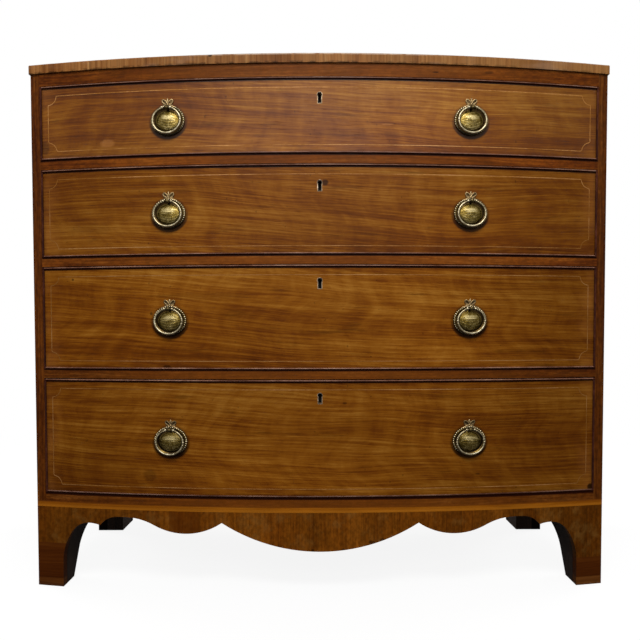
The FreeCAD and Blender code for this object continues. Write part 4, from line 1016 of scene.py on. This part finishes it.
def make_stringing():
    material = line_finish()
    tree = inlay_pattern()
    for number in DRAWERS:
        low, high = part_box("drawer_%d_cockbead" % number)
        points, edges = string_path(low.z, high.z)
        strip = tree.make("stringing_%d" % number, points, edges, Width=0.0011, Deep=0.0004, Step=0.004,
                          Radius=BOW_RADIUS - 0.00014, Centre=BOW_CENTRE, Finish=material)
        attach(strip, "drawer_%d" % number)


# ---- nails and screws
def make_studs(tree, name, body, material, radius, rise, points):
    """Heads of one size on the given points, which ride on one body."""
    head = stud_head(name + "_head", radius, rise, material)
    studs = tree.make(name, points, Head=head, Seed=3, Finish=material)
    bpy.data.objects.remove(head)
    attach(studs, body)


def make_fixings():
    """Nails along the ends of the back boards and screws in the lock cases."""
    iron = Finish("nail_iron")
    rust = iron.cloud(400)
    rusty = iron.surface(rust.ramp(stops((38, 26, 20), (56, 38, 28), (70, 50, 38), (92, 72, 58))),
                         0.6, rust, 0.0002, metal=0.6)
    steel = brass_finish("screw_brass", (84, 70, 34), (132, 112, 60), (190, 170, 104))
    tree = stud_pattern()
    nails = [(x, BACK_LINE - 0.0004, BASE_TOP + (k + 0.5) * BACK_BOARD / 2)
             for x in (-0.4995, 0.4995) for k in range(8)]
    make_studs(tree, "back_nails", "carcase", rusty, 0.0032, 0.0004, nails)
    for number in DRAWERS:
        low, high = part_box("drawer_%d_lock" % number)
        screws = [(x, high.y, low.z + up) for x in (-0.0215, 0.0215) for up in (0.005, 0.032)]
        make_studs(tree, "lock_screws_%d" % number, "drawer_%d" % number, steel, 0.0026, 0.0006, screws)


# ---- finishes of the case and drawers
def set_finishes(finishes):
    for name, material in finishes.items():
        for slot in nodes[name].material_slots:
            slot.material = material


def make_finishes():
    oak = plain_wood("oak_linings", OAK, "y")
    oak_across = plain_wood("oak_backs", OAK, "x", 4.0)
    pine = plain_wood("pine_boards", PINE, "x", 6.0, 0.22)
    bolt_steel = brass_finish("bolt_steel", (44, 41, 36), (78, 74, 67), (124, 120, 112), 0.42, False)
    # the ring posts in dark brass: painted shade between the knuckles
    post_brass = brass_finish("post_brass", (44, 36, 20), (74, 63, 38), (116, 102, 68), 0.4, False)
    floors = []
    for number in DRAWERS:
        name = "drawer_%d_" % number
        low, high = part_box(name + "cockbead")
        floors.append(low.z - 0.0003)
        set_finishes({
            name + "front": front_finish(number, low.z, high.z), name + "back": oak_across,
            name + "cockbead": bead_finish(number, low.z, high.z), name + "sides": oak,
            name + "lock": lock_finish(number, high.z), name + "bottom": pine,
            name + "bolt": bolt_steel, name + "handle_posts": post_brass})
    rail = rail_finish(floors)
    side = side_finish()
    # the last number is painted light: the apron brighter, the feet darker low down
    apron = base_finish("apron_veneer", 2.0, 0.0, 1.3)
    foot = base_finish("foot_veneer", 8.0, FOOT_JOINT, 0.86)
    set_finishes({
        "front_rails": rail, "top_frame": rail, "bottom_board": rail, "side_left": side,
        "side_right": side, "top_board": top_finish(), "drawer_runners": oak, "drawer_stops": oak,
        "dust_boards": pine, "back_boards": back_finish(), "base_banding": band_finish(),
        "apron": apron, "side_skirts": apron, "front_feet": foot, "rear_feet": foot,
        # the foot blocks nearly black: painted shade under the case
        "foot_blocks": plain_wood("block_pine", SHADE_DARK_PINE, "z", 2.0)})


# ---- room
def make_floor():
    """Plain pale floor that keeps the chest's shadow and turns white further off."""
    paper = Finish("floor_paper")
    x, y, _ = paper.at
    away = (x * x + y * y) ** 0.5
    fleck = paper.noise(x * 40, y * 40, 0.0, 3.0)
    lit = paper.node("ShaderNodeBsdfDiffuse", {}, {
        "Color": fleck.ramp([(0.3, (0.15, 0.15, 0.15, 1)), (0.7, (0.17, 0.17, 0.17, 1))])})
    pale = paper.node("ShaderNodeBsdfDiffuse", {}, {"Color": (0.11, 0.11, 0.11, 1)})
    seen = paper.node("ShaderNodeEmission", {}, {"Color": (1, 1, 1, 1), "Strength": 0.89})
    both = paper.node("ShaderNodeAddShader", {}, {0: pale, 1: seen})
    white = paper.node("ShaderNodeEmission", {}, {"Color": (1, 1, 1, 1), "Strength": 1.0})
    far = paper.node("ShaderNodeMixShader", {}, {0: away.between(0.9, 2.2), 1: both, 2: white})
    camera = paper.node("ShaderNodeLightPath", out="Is Camera Ray")
    whole = paper.node("ShaderNodeMixShader", {}, {0: camera, 1: lit, 2: far})
    paper.node("ShaderNodeOutputMaterial", {}, {"Surface": whole})
    form = Form()
    form.ring([Vector((x, y, -0.0002)) for x, y in ((-8, -8), (8, -8), (8, 8), (-8, 8))])
    form.faces.append((0, 1, 2, 3))
    floor = form.piece("studio_floor", paper.material)


def make_room():
    """White to the camera and in reflections, dimmer as a light."""
    world = bpy.data.worlds.new("studio")
    world.use_nodes = True
    scene.world = world
    room = Nodes(world.node_tree)
    camera = room.node("ShaderNodeLightPath", out="Is Camera Ray")
    glossy = room.node("ShaderNodeLightPath", out="Is Glossy Ray")
    clear = room.node("ShaderNodeLightPath", out="Is Transmission Ray")
    seen = camera.most(glossy).most(clear)
    soft = room.node("ShaderNodeBackground", {}, {"Color": (1, 1, 1, 1), "Strength": 0.3})
    white = room.node("ShaderNodeBackground", {}, {"Color": (1, 1, 1, 1), "Strength": 1.0})
    room.node("ShaderNodeOutputWorld", {}, {
        "Surface": room.node("ShaderNodeMixShader", {}, {0: seen, 1: soft, 2: white})})


def make_lamp(name, place, target, wide, high, power):
    lamp = bpy.data.lights.new(name, "AREA")
    lamp.shape = "RECTANGLE"
    lamp.size = wide
    lamp.size_y = high
    lamp.energy = power
    holder = placed(name, lamp)
    holder.location = place
    holder.rotation_euler = (Vector(target) - Vector(place)).to_track_quat("-Z", "Y").to_euler()


def make_camera():
    lens = bpy.data.cameras.new("front_view")
    lens.sensor_width = 36
    lens.lens = 42.19
    lens.shift_y = 0.066
    lens.clip_start = 0.01
    camera = placed("front_view", lens)
    camera.location = (-0.00386, -1.5517, 0.458)
    camera.rotation_euler = (pi / 2 - 0.03998, 0.0015, -0.00307)
    scene.camera = camera


make_camera()
make_finishes()
make_handles()
make_stringing()
make_fixings()
make_floor()
make_room()
make_lamp("high_softbox", (0.0, -2.6, 2.9), (0, -0.2, 0.5), 2.0, 1.0, 92)
make_lamp("left_fill", (-3.0, 1.6, 1.6), (0, 0.1, 0.5), 1.4, 1.4, 55)
make_lamp("right_fill", (3.0, 1.6, 1.6), (0, 0.1, 0.5), 1.4, 1.4, 55)
make_lamp("low_softbox", (0.0, -3.0, 1.6), (0, -0.2, 0.7), 2.2, 0.7, 32)
scene.view_settings.view_transform = "Standard"
